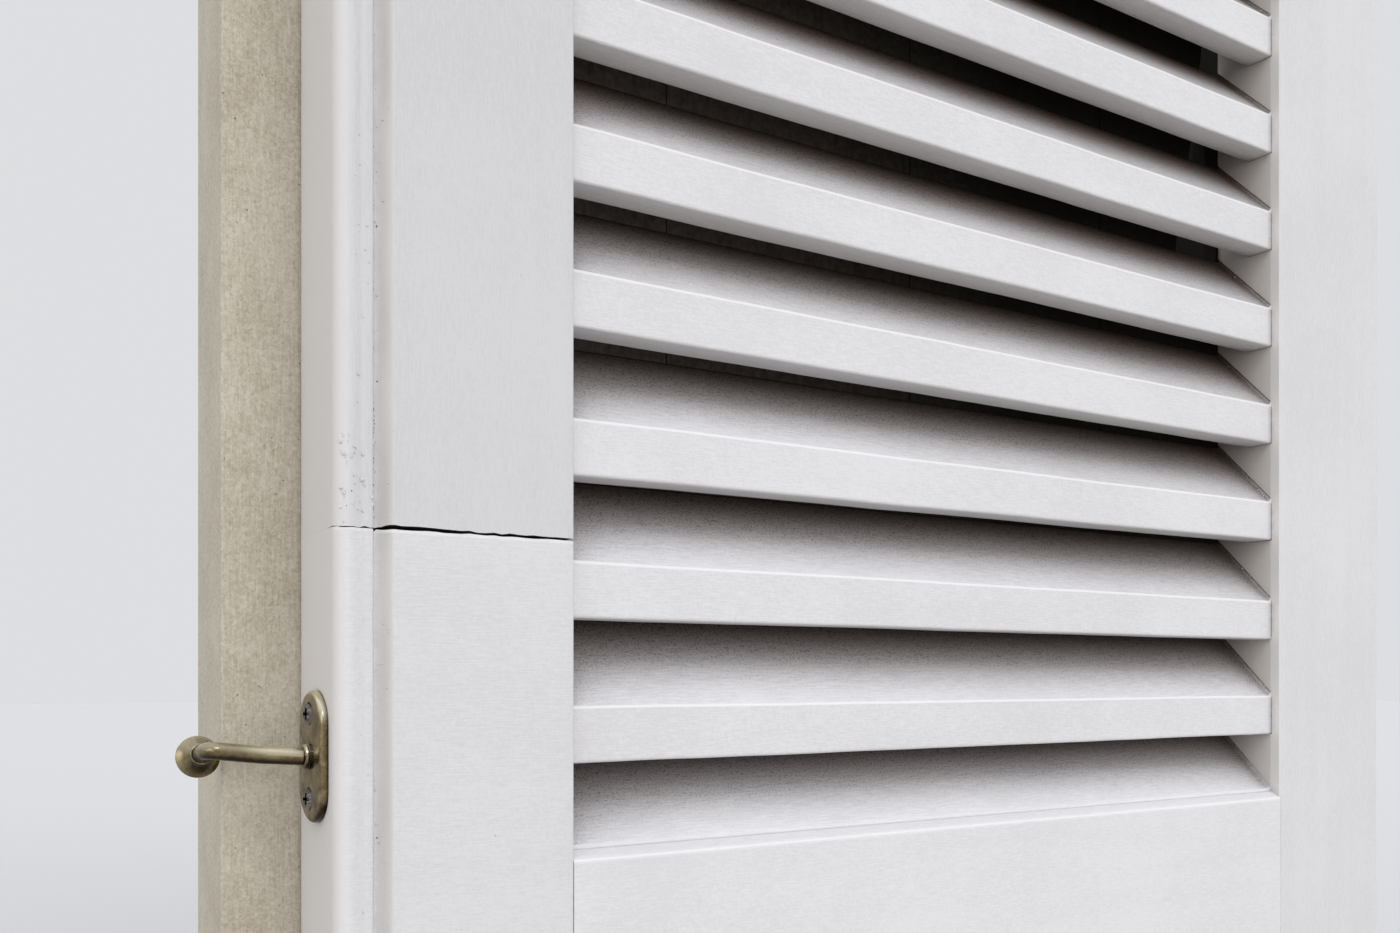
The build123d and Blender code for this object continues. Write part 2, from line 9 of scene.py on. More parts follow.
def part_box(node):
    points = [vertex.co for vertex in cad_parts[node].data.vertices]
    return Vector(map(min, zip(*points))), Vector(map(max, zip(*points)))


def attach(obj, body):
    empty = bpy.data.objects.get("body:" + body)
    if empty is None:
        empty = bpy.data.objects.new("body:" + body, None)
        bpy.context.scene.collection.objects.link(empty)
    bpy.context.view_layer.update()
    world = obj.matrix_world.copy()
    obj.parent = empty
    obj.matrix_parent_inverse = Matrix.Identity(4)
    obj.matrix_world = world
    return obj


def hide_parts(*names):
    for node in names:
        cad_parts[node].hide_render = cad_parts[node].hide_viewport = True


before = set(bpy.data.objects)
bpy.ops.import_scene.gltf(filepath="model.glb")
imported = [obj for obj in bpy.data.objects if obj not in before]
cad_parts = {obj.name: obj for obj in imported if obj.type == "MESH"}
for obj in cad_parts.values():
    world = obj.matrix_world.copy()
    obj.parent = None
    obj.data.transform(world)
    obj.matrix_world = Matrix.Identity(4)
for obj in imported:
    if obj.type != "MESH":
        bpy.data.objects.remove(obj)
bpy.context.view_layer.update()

MM = 0.001

# Datum planes of the shutter, read from the CAD pieces
STILE_LOW, STILE_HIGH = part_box("left_stile_upper")
SLAT_LOW, SLAT_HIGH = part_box("slat_01")
PLATE_LOW, PLATE_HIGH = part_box("pull_plate")
FRAME_LOW, FRAME_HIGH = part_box("frame_left_jamb")
LEAF_LEFT, LEAF_FRONT, LEAF_BACK = STILE_LOW.x, STILE_LOW.y, STILE_HIGH.y
OPENING_LEFT, OPENING_RIGHT = STILE_HIGH.x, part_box("right_stile_upper")[0].x
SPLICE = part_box("left_stile_foot")[1].z
REVEAL_LEFT, REVEAL_RIGHT = FRAME_HIGH.x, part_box("frame_right_jamb")[0].x
REVEAL_LOW, REVEAL_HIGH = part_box("frame_sill")[1].z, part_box("frame_head")[0].z

# Slats
SLAT_COUNT = 18
SLAT_PITCH = 50.0 * MM
SLAT_FACE = 19.3 * MM
SLAT_LAND = 13.0 * MM
SLAT_DEPTH = SLAT_HIGH.y - SLAT_LOW.y
SLAT_SLOPE = math.tan(math.radians(46.7))
SLAT_NOSE = 1.0 * MM
# How far each slat's height wanders along its length
SLAT_WANDER = 0.9 * MM
FIRST_SLAT = 32.5 * MM
RAIL_ARRIS = SLAT_LOW.z - FIRST_SLAT
SLAT_HEIGHTS = [RAIL_ARRIS + FIRST_SLAT + k * SLAT_PITCH for k in range(SLAT_COUNT)]
# How far the paint has built up in the corner between a slat and the stile
PAINT_FILLET = 2.6 * MM
# Slats that were set a little low at one end, by their number from the bottom
LOW_LEFT = {2: 1.0 * MM}
LOW_RIGHT = {1: 1.2 * MM}

# Stiles
BOARD_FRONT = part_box("backing_board_1")[0].y
BOARD_LOW, BOARD_TOP = (corner.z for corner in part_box("backing_board_1"))
BOARD_REBATE = 10.0 * MM
SPLICE_GAP = 1.1 * MM
BEAD_RADIUS = 4.0 * MM
BEAD_WIDTH = 8.2 * MM
CREASE_DEPTH = 0.8 * MM
STRIP_END = 12.2 * MM
STRIP_RADIUS = 1.2 * MM
COVE_END = 17.9 * MM
COVE_DEPTH = 2.8 * MM
ARRIS = 0.8 * MM
# Unevenness of the painted moulding: height, grain across and along, all in mm, and a seed
MOULDING_LUMPS = ((0.11, 2.2, 14, 3.1), (0.05, 1.2, 6, 7.7))
# How far in mm it lies below its outline, so that no lump stands out of the leaf's face
MOULDING_SINK = 0.08
# Wear at the splice: how far the joint wanders, how worn the foot's lip is, how wide and deep a chip is
# out of the strip's edge, how far the crack under the bead stands open, and the gap where it is shut
SPLICE_WANDER = 0.3 * MM
LIP_WEAR = 0.14 * MM
CHIP_SIZE = 0.9 * MM
CRACK_GAP = 0.16 * MM
CLOSED_GAP = 0.004 * MM
# Dust and painted shade lie thickest at this share of the cove's width, and reach so far to each side
COVE_DUST_AND_SHADE, COVE_DUST_AND_SHADE_MIDDLE, COVE_DUST_AND_SHADE_REACH = 0.27, 0.62, 0.42

# Pull: each profile is how far a ring stands off the leaf, then its radius or its inset, in mm
PLATE_END_RISE = 7.9 * MM
SCREW_SPACING = 27.0 * MM
PLATE_RIM = ((0, 0), (1.3, 0), (1.7, 0.12), (2.05, 0.35), (2.35, 0.7), (2.53, 1.1), (2.6, 1.5))
SCREW_SINK = ((-1.0, 1.75), (0.5, 1.8), (2.6, 3.9), (4.0, 3.9))
ROD_COLLAR = ((2.4, 4.1), (3.1, 4.1), (3.3, 3.8), (3.5, 3.8), (3.7, 4.0), (4.2, 3.85), (4.5, 3.4), (4.6, 2.9))

# Corners sharper than this many degrees stay sharp, on timber, on the plate and on crumbs
SHARP_TIMBER, SHARP_BRASS, SHARP_CRUMB = 40, 32, 80

# Camera, worked out from the photograph, whose size, focal length and horizon are in pixels
PHOTO_WIDTH, PHOTO_HEIGHT = 1400, 933
FOCAL_LENGTH = 1195
HORIZON_ROW = 674.5
CAMERA_SPOT = (LEAF_LEFT - 95.0 * MM, LEAF_FRONT - 367.0 * MM, RAIL_ARRIS + 63.1 * MM)
CAMERA_TURN = -31.5
SENSOR_WIDTH = 36.0


def linear(code, alpha=1.0):
    """A colour written as sRGB hex, turned to the linear values the shaders take."""
    channels = [int(code[i:i + 2], 16) / 255 for i in (1, 3, 5)]
    return (*(c / 12.92 if c <= 0.04045 else ((c + 0.055) / 1.055) ** 2.4 for c in channels), alpha)


def per(*lengths):
    """Scale of a pattern with one feature in so many millimetres, alike on all axes or given for each."""
    scale = tuple(1 / (length * MM) for length in lengths)
    return scale if len(scale) > 1 else scale[0]


def clamp(value):
    """A value kept between 0 and 1."""
    return min(max(value, 0.0), 1.0)


def put(name, data):
    """A new object in the scene, for a mesh, a lamp or the camera."""
    made = bpy.data.objects.new(name, data)
    bpy.context.scene.collection.objects.link(made)
    return made


def feed(tree, node, inputs):
    """Sets inputs of a node to values, or links them to other nodes' outputs."""
    for socket, value in inputs.items():
        if isinstance(value, bpy.types.Node):
            value = next(output for output in value.outputs if output.enabled)
        if isinstance(value, bpy.types.NodeSocket):
            tree.links.new(value, node.inputs[socket])
        else:
            node.inputs[socket].default_value = value


def add(tree, kind, inputs=None, stops=(), **settings):
    """Adds a node to a tree with its settings and inputs. A shader node's kind goes without its prefix,
    and the stops of a ramp are place and grey or hex."""
    made = tree.nodes.new(kind if "Node" in kind else "ShaderNode" + kind)
    for name, value in settings.items():
        setattr(made, name, value)
    for _ in stops[2:]:
        made.color_ramp.elements.new(0.5)
    for k, (place, shade) in enumerate(stops):
        stop = made.color_ramp.elements[k]
        stop.position = place
        stop.color = linear(shade) if isinstance(shade, str) else (shade, shade, shade, 1)
    feed(tree, made, inputs or {})
    return made


def new_material(name):
    """An empty material with its tree and the piece's own coordinates, in metres."""
    material = bpy.data.materials.new(name)
    material.use_nodes = True
    tree = material.node_tree
    return material, tree, add(tree, "TexCoord").outputs["Object"]


def complete(material, colour, sheen, relief=(), gloss=0.5, **more):
    """Gives a material its colour, roughness, gloss and other inputs by name, and its relief: what the
    height follows, how deep it is in mm and how strong."""
    tree = material.node_tree
    inputs = {"Base Color": colour, "Roughness": sheen, "Specular IOR Level": gloss, **more}
    if relief:
        height, depth, strength = relief
        inputs["Normal"] = add(tree, "Bump", {"Strength": strength, "Distance": depth * MM, "Height": height})
    feed(tree, tree.nodes["Principled BSDF"], inputs)
    return material


# Finishes

def grained(tree, place, across, along, stroke="Z", **noise_inputs):
    """Noise drawn out along one axis, its features so many millimetres across the grain and along it."""
    scale = per(*(along if axis == stroke else across for axis in "XYZ"))
    drawn = add(tree, "Mapping", {"Vector": place, "Scale": scale})
    return add(tree, "TexNoise", {"Vector": drawn, "Scale": 1.0, **noise_inputs})


def flecks(tree, place, cell, radius, share, strength):
    """Round flecks in a share of the cells of so many millimetres, their radius as a part of the cell."""
    cells = add(tree, "TexVoronoi", {"Vector": place, "Scale": per(cell)})
    near = add(tree, "Math", {0: cells.outputs["Distance"], 1: radius}, operation="LESS_THAN")
    pick = add(tree, "SeparateColor", {"Color": cells.outputs["Color"]})
    pick = add(tree, "Math", {0: pick, 1: share}, operation="LESS_THAN")
    fleck = add(tree, "Math", {0: near, 1: pick}, operation="MULTIPLY")
    return add(tree, "Math", {0: fleck, 1: strength}, operation="MULTIPLY")


def laid_over(tree, colour, *layers):
    """A colour under others, each given by how much of it shows and its hex code."""
    for factor, code in layers:
        colour = add(tree, "Mix", {"Factor": factor, "A": colour, "B": linear(code)}, data_type="RGBA")
    return colour


def brushed_paint(name, body, shade, stroke, soot=0.0, side=None, behind=None):
    """Oil paint laid off with a brush on softwood: short fine ridges along the stroke, dust and painted shade
    in the corners, a few specks, rubbed arrises with a painted highlight, and peppered soot with painted
    shade.
    The stroke is the axis the brush was drawn along, and soot is how dark soot and painted shade make what
    lies deep. Side is a colour painted on the faces turned to the left, as warm light thrown back by the
    wall, and behind is a depth behind which the colour is darker and warmer."""
    material, tree, place = new_material(name)
    axes = add(tree, "SeparateXYZ", {"Vector": place}).outputs
    # Ridges 0.5 mm apart and 7 mm long, and bands 9 mm wide where one brushful overlaps the next
    ridges = grained(tree, place, 0.5, 7, stroke, Detail=3.0)
    bands = grained(tree, place, 9, 150, stroke, Detail=2.0)
    # Slow clouding over 60 mm, patches of 4 mm that dust settles in, and the film's own texture of 1.2 mm
    cloud, patch, film = (
        add(tree, "TexNoise", {"Vector": place, "Scale": per(size), "Detail": 4.0}) for size in (60, 4, 1.2))
    tone = ridges
    for share, other in ((0.4, film), (0.15, bands), (0.25, cloud)):
        tone = add(tree, "Mix", {"Factor": share, "A": tone, "B": other})
    tone = add(tree, "ValToRGB", {"Fac": tone}, [(0.43, shade), (0.56, body)])
    # Dust and painted shade where the surface is closed in, broken up so that it isn't a clean line
    hollow_dirt_and_shade = add(tree, "AmbientOcclusion", {"Distance": 6 * MM}, samples=6).outputs["AO"]
    hollow_dirt_and_shade = add(tree, "ValToRGB", {"Fac": hollow_dirt_and_shade}, [(0.3, 0.55), (0.78, 0.0)])
    broken = add(tree, "ValToRGB", {"Fac": patch}, [(0.36, 0.25), (0.62, 1.0)])
    dust = add(tree, "Math", {0: hollow_dirt_and_shade, 1: broken}, operation="MULTIPLY")
    # Specks 0.6 mm across, in a few of the 9 mm cells
    layers = [(dust, "#8A8177"), (flecks(tree, place, 9, 0.035, 0.16, 0.4), "#6E675E")]
    gloss = 0.35
    if side:
        # Faces turned to the left get the side colour, uneven with the ridges: painted warm light from the
        # wall
        turned = add(tree, "SeparateXYZ", {"Vector": add(tree, "NewGeometry").outputs["Normal"]})
        turned = add(tree, "MapRange", {"Value": turned, "From Min": 0.05, "From Max": -0.8, "To Max": 1.0})
        uneven = add(tree, "MapRange", {"Value": ridges, "From Min": 0.3, "To Min": 0.95, "To Max": 0.6})
        turned = add(tree, "Math", {0: turned, 1: uneven}, operation="MULTIPLY")
        layers.insert(0, (turned, side))
    if soot:
        # Soot and painted shade where the surface is closed in within 48 mm, peppered with dark specks, the
        # gloss falling with them
        deep = add(tree, "AmbientOcclusion", {"Distance": 48 * MM}, samples=10).outputs["AO"]
        deep = add(tree, "Mix", {"Factor": 0.14, "A": deep, "B": ridges})
        # Painted shade grows up the lowest 360 mm and towards the hinge side, and the mesh marks faces kept
        # clear of soot and painted shade
        top_and_hinge_shade = add(tree, "Math", {0: axes["X"], 1: 0.3, 2: axes["Z"]}, operation="MULTIPLY_ADD")
        top_and_hinge_shade = add(tree, "MapRange", {
            "Value": top_and_hinge_shade, "From Min": RAIL_ARRIS, "From Max": RAIL_ARRIS + 360 * MM, "To Max": 0.27})
        washed_and_lit = add(tree, "Attribute", attribute_name="washed_and_lit").outputs["Fac"]
        deep = add(tree, "Math", {0: deep, 1: top_and_hinge_shade}, operation="SUBTRACT")
        deep = add(tree, "Math", {0: deep, 1: washed_and_lit}, operation="ADD")
        deep = add(tree, "ValToRGB", {"Fac": deep}, [(0.02, soot * 0.94), (0.38, soot * 0.66), (0.78, 0.0)])
        layers.append((deep, "#4A3018"))
        grit = add(tree, "TexNoise", {"Vector": place, "Scale": per(0.7), "Detail": 2.0})
        pepper = add(tree, "ValToRGB", {"Fac": grit}, [(0.53, 0.0), (0.64, 0.8)])
        pepper = add(tree, "Math", {0: pepper, 1: deep}, operation="MULTIPLY")
        layers.append((pepper, "#17110C"))
        gloss = add(tree, "MapRange", {"Value": deep, "From Max": 0.7, "To Min": gloss, "To Max": 0.03})
    if behind is not None:
        # Darker and warmer behind the given depth
        back = add(tree, "Math", {0: axes["Y"], 1: behind}, operation="GREATER_THAN")
        back = add(tree, "Math", {0: back, 1: 0.3}, operation="MULTIPLY")
        layers.append((back, "#A8988A"))
    # The mesh marks where dust and painted shade lie, where cracked paint has filled with dirt, and where it
    # is rubbed clean and painted as a highlight
    for wear, code in (("dust_and_shade", "#8A826F"), ("seam", "#2B2622"), ("arris", "#ECEBEC")):
        layers.append((add(tree, "Attribute", attribute_name=wear).outputs["Fac"], code))
    height = ridges
    for share, other in ((0.5, film), (0.2, bands)):
        height = add(tree, "Mix", {"Factor": share, "A": height, "B": other})
    sheen = add(tree, "ValToRGB", {"Fac": film}, [(0.3, 0.42), (0.7, 0.56)])
    colour = laid_over(tree, tone, *layers)
    return complete(material, colour, sheen, (height, 0.2, 0.9), gloss, IOR=1.48)


def stone_paint():
    """Satin exterior paint in a warm stone colour over open softwood: short fibres, the film's orange peel
    and pinholes show in it. The frame's inner faces, shut away behind the leaf, are painted near black as
    painted shade."""
    material, tree, place = new_material("satin_stone_paint")
    # Fibres 0.7 mm apart and 9 mm long, orange peel of 1.2 mm, clouding over 30 mm
    fibre = grained(tree, place, 0.7, 9, Detail=3.0, Roughness=0.6)
    peel = {"Vector": place, "Scale": per(1.2), "Detail": 3.0, "Roughness": 0.6, "Distortion": 0.8}
    peel = add(tree, "TexNoise", peel)
    cloud = add(tree, "TexNoise", {"Vector": place, "Scale": per(30), "Detail": 5.0, "Roughness": 0.6})
    tone = add(tree, "Mix", {"Factor": 0.65, "A": fibre, "B": peel})
    tone = add(tree, "Mix", {"Factor": 0.25, "A": tone, "B": cloud})
    colour = add(tree, "ValToRGB", {"Fac": tone}, [(0.38, "#ADA38F"), (0.5, "#C3BAA8"), (0.62, "#D4CDBE")])
    # Pinholes 0.6 mm across in some of the 4 mm cells
    pit = flecks(tree, place, 4, 0.08, 0.4, 0.7)
    # The frame's inner faces, from 3 mm behind its front, painted near black as painted shade
    axes = add(tree, "SeparateXYZ", {"Vector": place}).outputs
    inner_shade = add(tree, "Math", {0: axes["Y"], 1: FRAME_LOW.y + 3 * MM}, operation="GREATER_THAN")
    for axis, low, high in (("X", REVEAL_LEFT, REVEAL_RIGHT), ("Z", REVEAL_LOW, REVEAL_HIGH)):
        within = {0: axes[axis], 1: (low + high) / 2, 2: (high - low) / 2 + 1 * MM}
        within = add(tree, "Math", within, operation="COMPARE")
        inner_shade = add(tree, "Math", {0: inner_shade, 1: within}, operation="MULTIPLY")
    colour = laid_over(tree, colour, (pit, "#5D5442"), (inner_shade, "#1C1814"))
    gloss = add(tree, "MapRange", {"Value": inner_shade, "To Min": 0.4, "To Max": 0.1})
    height = add(tree, "Mix", {"Factor": 0.7, "A": fibre, "B": peel})
    sheen = add(tree, "ValToRGB", {"Fac": fibre}, [(0.3, 0.5), (0.7, 0.62)])
    return complete(material, colour, sheen, (height, 0.3, 0.8), gloss, IOR=1.48)


def weathered_board():
    """Thin old paint gone grey over sawn matchboard, with the grain standing up and dust on it."""
    material, tree, place = new_material("weathered_matchboard")
    # Figure of the growth rings, about 6 mm across and 300 mm long, and fibres 0.6 mm apart
    grain = grained(tree, place, 6, 300, Detail=6.0, Roughness=0.7, Distortion=0.6)
    fibre = grained(tree, place, 0.6, 25, Detail=3.0, Roughness=0.6)
    dust = add(tree, "TexNoise", {"Vector": place, "Scale": per(2.5), "Detail": 4.0})
    tone = add(tree, "Mix", {"Factor": 0.4, "A": grain, "B": fibre})
    tone = add(tree, "Mix", {"Factor": 0.5, "A": tone, "B": dust})
    colour = add(tree, "ValToRGB", {"Fac": tone}, [(0.34, "#4C4642"), (0.5, "#615A55"), (0.66, "#756E69")])
    # Painted shade, darker towards the hinges
    hinge_side_shade = add(tree, "SeparateXYZ", {"Vector": place})
    hinge_side_shade = add(tree, "MapRange", {
        "Value": hinge_side_shade, "From Min": OPENING_LEFT, "From Max": OPENING_RIGHT - 160 * MM, "To Max": 0.9})
    colour = laid_over(tree, colour, (hinge_side_shade, "#15120F"))
    return complete(material, colour, 0.8, (tone, 0.3, 0.6), 0.08)


def planed_softwood():
    """Bare planed pine for the loose tongues, which only show where the splice has opened."""
    material, tree, place = new_material("planed_softwood")
    grain = grained(tree, place, 3, 90, Detail=5.0, Roughness=0.6)
    colour = add(tree, "ValToRGB", {"Fac": grain}, [(0.35, "#8A6B45"), (0.65, "#B79B70")])
    return complete(material, colour, 0.72, (grain, 0.2, 0.4))


def aged_brass():
    """Cast brass that has gone brown and been handled: dark film and painted shade in the hollows, painted
    shade underneath, and a painted highlight on top where fingers rub it, broken up over a few millimetres,
    with fine pitting."""
    material, tree, place = new_material("aged_cast_brass")
    patch, grit = (
        add(tree, "TexNoise", {"Vector": place, "Scale": per(size), "Detail": detail, "Roughness": 0.6})
        for size, detail in ((5, 5.0), (0.6, 3.0))
    )
    tone = add(tree, "Mix", {"Factor": 0.25, "A": patch, "B": grit})
    colour = add(tree, "ValToRGB", {"Fac": tone}, [
        (0.34, "#574A33"), (0.47, "#786A4E"), (0.58, "#938465"), (0.7, "#B3A482")])
    turned = add(tree, "SeparateXYZ", {"Vector": add(tree, "NewGeometry").outputs["Normal"]}).outputs["Z"]
    # A painted highlight on top, where fingers also rub it, most of all on the half of the rod next to the
    # leaf, and painted shade underneath
    away = add(tree, "SeparateXYZ", {"Vector": place})
    away = add(tree, "MapRange", {
        "Value": away, "From Min": LEAF_LEFT - 24 * MM, "From Max": LEAF_LEFT - 15 * MM, "To Min": 0.35})
    rubbed_and_highlit_top, painted_under_shade = (
        add(tree, "MapRange", {"Value": turned, "From Min": low, "From Max": high, "To Max": most})
        for low, high, most in ((0.05, 0.6, 0.95), (-0.1, -0.6, 0.9))
    )
    rubbed_and_highlit_top = add(tree, "Math", {0: rubbed_and_highlit_top, 1: away}, operation="MULTIPLY")
    # Dark film and painted shade in the hollows within 2.5 mm
    hollow_dirt_and_shade = add(tree, "AmbientOcclusion", {"Distance": 2.5 * MM}, samples=6).outputs["AO"]
    hollow_dirt_and_shade = add(tree, "ValToRGB", {"Fac": hollow_dirt_and_shade}, [(0.5, 0.97), (0.88, 0.0)])
    colour = laid_over(tree, colour, (rubbed_and_highlit_top, "#FBF2D6"), (painted_under_shade, "#231B10"), (hollow_dirt_and_shade, "#0E0B07"))
    sheen = add(tree, "ValToRGB", {"Fac": tone}, [(0.36, 0.34), (0.6, 0.17)])
    return complete(material, colour, sheen, (tone, 0.08, 0.35), Metallic=1.0)


def plated_steel():
    """Dulled zinc plate on steel screws, with black dirt and painted shade in the recess and round the head.
    """
    material, tree, place = new_material("zinc_plated_steel")
    grit = add(tree, "TexNoise", {"Vector": place, "Scale": per(0.7), "Detail": 3.0})
    colour = add(tree, "ValToRGB", {"Fac": grit}, [(0.35, "#55534F"), (0.65, "#98958F")])
    # Black dirt and painted shade in the recess and round the head, within 1.4 mm
    hollow_dirt_and_shade = add(tree, "AmbientOcclusion", {"Distance": 1.4 * MM}, samples=6).outputs["AO"]
    hollow_dirt_and_shade = add(tree, "ValToRGB", {"Fac": hollow_dirt_and_shade}, [(0.55, 0.98), (0.95, 0.0)])
    colour = laid_over(tree, colour, (hollow_dirt_and_shade, "#0D0C0B"))
    sheen = add(tree, "ValToRGB", {"Fac": grit}, [(0.3, 0.4), (0.7, 0.24)])
    return complete(material, colour, sheen, (grit, 0.05, 0.4), Metallic=1.0)


def dried_dirt(name, dark, pale):
    """Dust and soot caked with rain: dull grey-brown in crumbs, and near black on the broken ends of the
    timber, there as soot and painted shade.
    """
    material, tree, place = new_material(name)
    grit = add(tree, "TexNoise", {"Vector": place, "Scale": per(0.4), "Detail": 3.0})
    colour = add(tree, "ValToRGB", {"Fac": grit}, [(0.35, dark), (0.65, pale)])
    return complete(material, colour, 0.9)


def painted_iron():
    """Black oil paint over forged iron: hammer flats of about 9 mm under a thick, dull skin."""
    material, tree, place = new_material("black_paint_on_forged_iron")
    flats = add(tree, "TexVoronoi", {"Vector": place, "Scale": per(9)}, feature="SMOOTH_F1")
    skin = add(tree, "TexNoise", {"Vector": place, "Scale": per(1.2), "Detail": 3.0})
    height = add(tree, "Mix", {"Factor": 0.35, "A": flats, "B": skin})
    colour = add(tree, "ValToRGB", {"Fac": skin}, [(0.3, "#17171A"), (0.7, "#26262A")])
    sheen = add(tree, "ValToRGB", {"Fac": skin}, [(0.3, 0.5), (0.7, 0.38)])
    return complete(material, colour, sheen, (height, 0.5, 0.5))


def turned_brass():
    """Plain turned brass for the washers, with close rings from the lathe."""
    material, tree, place = new_material("turned_brass")
    rings = add(tree, "TexNoise", {"Vector": place, "Scale": per(0.8), "Detail": 2.0})
    colour = add(tree, "ValToRGB", {"Fac": rings}, [(0.3, "#A98D4E"), (0.7, "#CBB274")])
    return complete(material, colour, 0.34, Metallic=1.0)


# The upper length of the left stile is painted a little darker than its foot and the hinge stile, as painted
# shade
PAINT_UP = brushed_paint("brushed_paint_upright", "#D0CFD2", "#C9C8CB", "Z", side="#DEDAD8")
PAINT_FOOT = brushed_paint("brushed_paint_level", "#DAD9DC", "#D1D0D3", "X", side="#DEDAD8")
PAINT_RAIL = brushed_paint("brushed_paint_rail", "#E1E0E3", "#D8D7DA", "X", soot=0.95)
PAINT_SLATS = brushed_paint("brushed_paint_louvres", "#DFDEE1", "#D5D3D6", "X", soot=0.95)
PAINT_HINGE_SIDE = brushed_paint(
    "brushed_paint_hinge_stile", "#DAD9DC", "#D1D0D3", "Z", soot=0.08, side="#E8E5E2",
    behind=SLAT_LOW.y + 0.5 * MM)
STONE_PAINT = stone_paint()
BOARD = weathered_board()
SOFTWOOD = planed_softwood()
BRASS = aged_brass()
STEEL = plated_steel()
IRON = painted_iron()
WASHER = turned_brass()
DIRT = dried_dirt("dried_dirt", "#2C2721", "#6A6257")
SOOT_AND_SHADE = dried_dirt("soot_and_shade_on_end_grain", "#12100E", "#241F1A")

# The finish of each CAD piece, by the first of these that its name starts with
FINISHES = (
    (("bottom_rail", "top_rail"), PAINT_RAIL),
    (("right_stile",), PAINT_HINGE_SIDE),
    (("slat_",), PAINT_SLATS),
    (("left_stile",), PAINT_UP),
    (("left_splice", "right_splice"), SOFTWOOD),
    (("backing_board",), BOARD),
    (("frame_",), STONE_PAINT),
    (("pull_screws", "knuckle_screws", "pintle_screws"), STEEL),
    (("pull_",), BRASS),
    (("washer_",), WASHER),
    (("knuckle_", "pintle_"), IRON),
)
for name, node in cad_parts.items():
    material = next(finish for starts, finish in FINISHES if name.startswith(starts))
    node.data.materials.clear()
    node.data.materials.append(material)


# Pieces

def placed(name, mesh, body, nodes, smooth=SHARP_TIMBER):
    """A piece of a mesh, smooth but for its sharp corners, riding a body for the nodes it replaces."""
    mesh.shade_smooth()
    mesh.set_sharp_from_angle(angle=math.radians(smooth))
    piece = put(name, mesh)
    if body:
        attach(piece, body)
    if nodes:
        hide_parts(*nodes)
    return piece


def finished(name, points, faces, material, body, nodes):
    """A closed piece from points and faces, with doubled points merged and every face turned outward."""
    mesh = bpy.data.meshes.new(name)
    mesh.from_pydata(points, [], faces)
    cleaner = bmesh.new()
    cleaner.from_mesh(mesh)
    bmesh.ops.remove_doubles(cleaner, verts=cleaner.verts, dist=1e-6)
    bmesh.ops.recalc_face_normals(cleaner, faces=cleaner.faces)
    cleaner.to_mesh(mesh)
    cleaner.free()
    mesh.materials.append(material)
    return placed(name, mesh, body, nodes)


def mark(mesh, name, values):
    """Stores a value on each point: how far it is rubbed and painted as a highlight (arris), kept clear of
    soot and painted shade (washed_and_lit), dusty and painted as shade (dust_and_shade) or cracked (seam).
    """
    marks = mesh.attributes.new(name, "FLOAT", "POINT")
    for item, value in zip(marks.data, values):
        item.value = value


def through_rings(rings):
    """Points and faces of a closed solid that passes through rings of points and is capped at both ends."""
    count = len(rings[0])
    points = [tuple(point) for ring in rings for point in ring]
    faces = [
        (low + i, low + (i + 1) % count, low + count + (i + 1) % count, low + count + i)
        for low in range(0, len(points) - count, count)
        for i in range(count)
    ]
    last = len(points) - count
    faces.append(tuple(reversed(range(count))))
    faces.append(tuple(range(last, len(points))))
    return points, faces


def lump(x, z, grain_x, grain_z, seed):
    """Smooth noise between about -1 and 1, drawn out over the two grain lengths."""
    return noise.noise(Vector((x / grain_x + seed, seed * 1.7, z / grain_z))) * 1.6


def moulding_depth(x):
    """Depth of the moulded corner below the stile's face, at a distance from the leaf's free edge."""
    if x < BEAD_RADIUS:
        return BEAD_RADIUS - math.sqrt(max(BEAD_RADIUS ** 2 - (BEAD_RADIUS - x) ** 2, 0))
    if x < BEAD_WIDTH:
        return CREASE_DEPTH * ((x - BEAD_RADIUS) / (BEAD_WIDTH - BEAD_RADIUS)) ** 2
    if x < STRIP_END:
        crease = max(CREASE_DEPTH - (x - BEAD_WIDTH), 0)
        edge = max(x - (STRIP_END - STRIP_RADIUS), 0)
        return crease + STRIP_RADIUS - math.sqrt(STRIP_RADIUS ** 2 - edge ** 2)
    if x < COVE_END:
        share = (x - STRIP_END) / (COVE_END - STRIP_END)
        return COVE_DEPTH * math.cos(share * math.pi / 2) ** 0.8
    return 0.0


def soft_moulding_depth(x, paint=0.35 * MM):
    """The same, rounded over by its coats of paint."""
    if x < BEAD_RADIUS:
        return moulding_depth(x)
    steps = [k / 4 for k in range(-8, 9)]
    weights = [math.exp(-step ** 2 / 2) for step in steps]
    total = sum(w * moulding_depth(max(x + step * paint, BEAD_RADIUS)) for step, w in zip(steps, weights))
    return total / sum(weights)


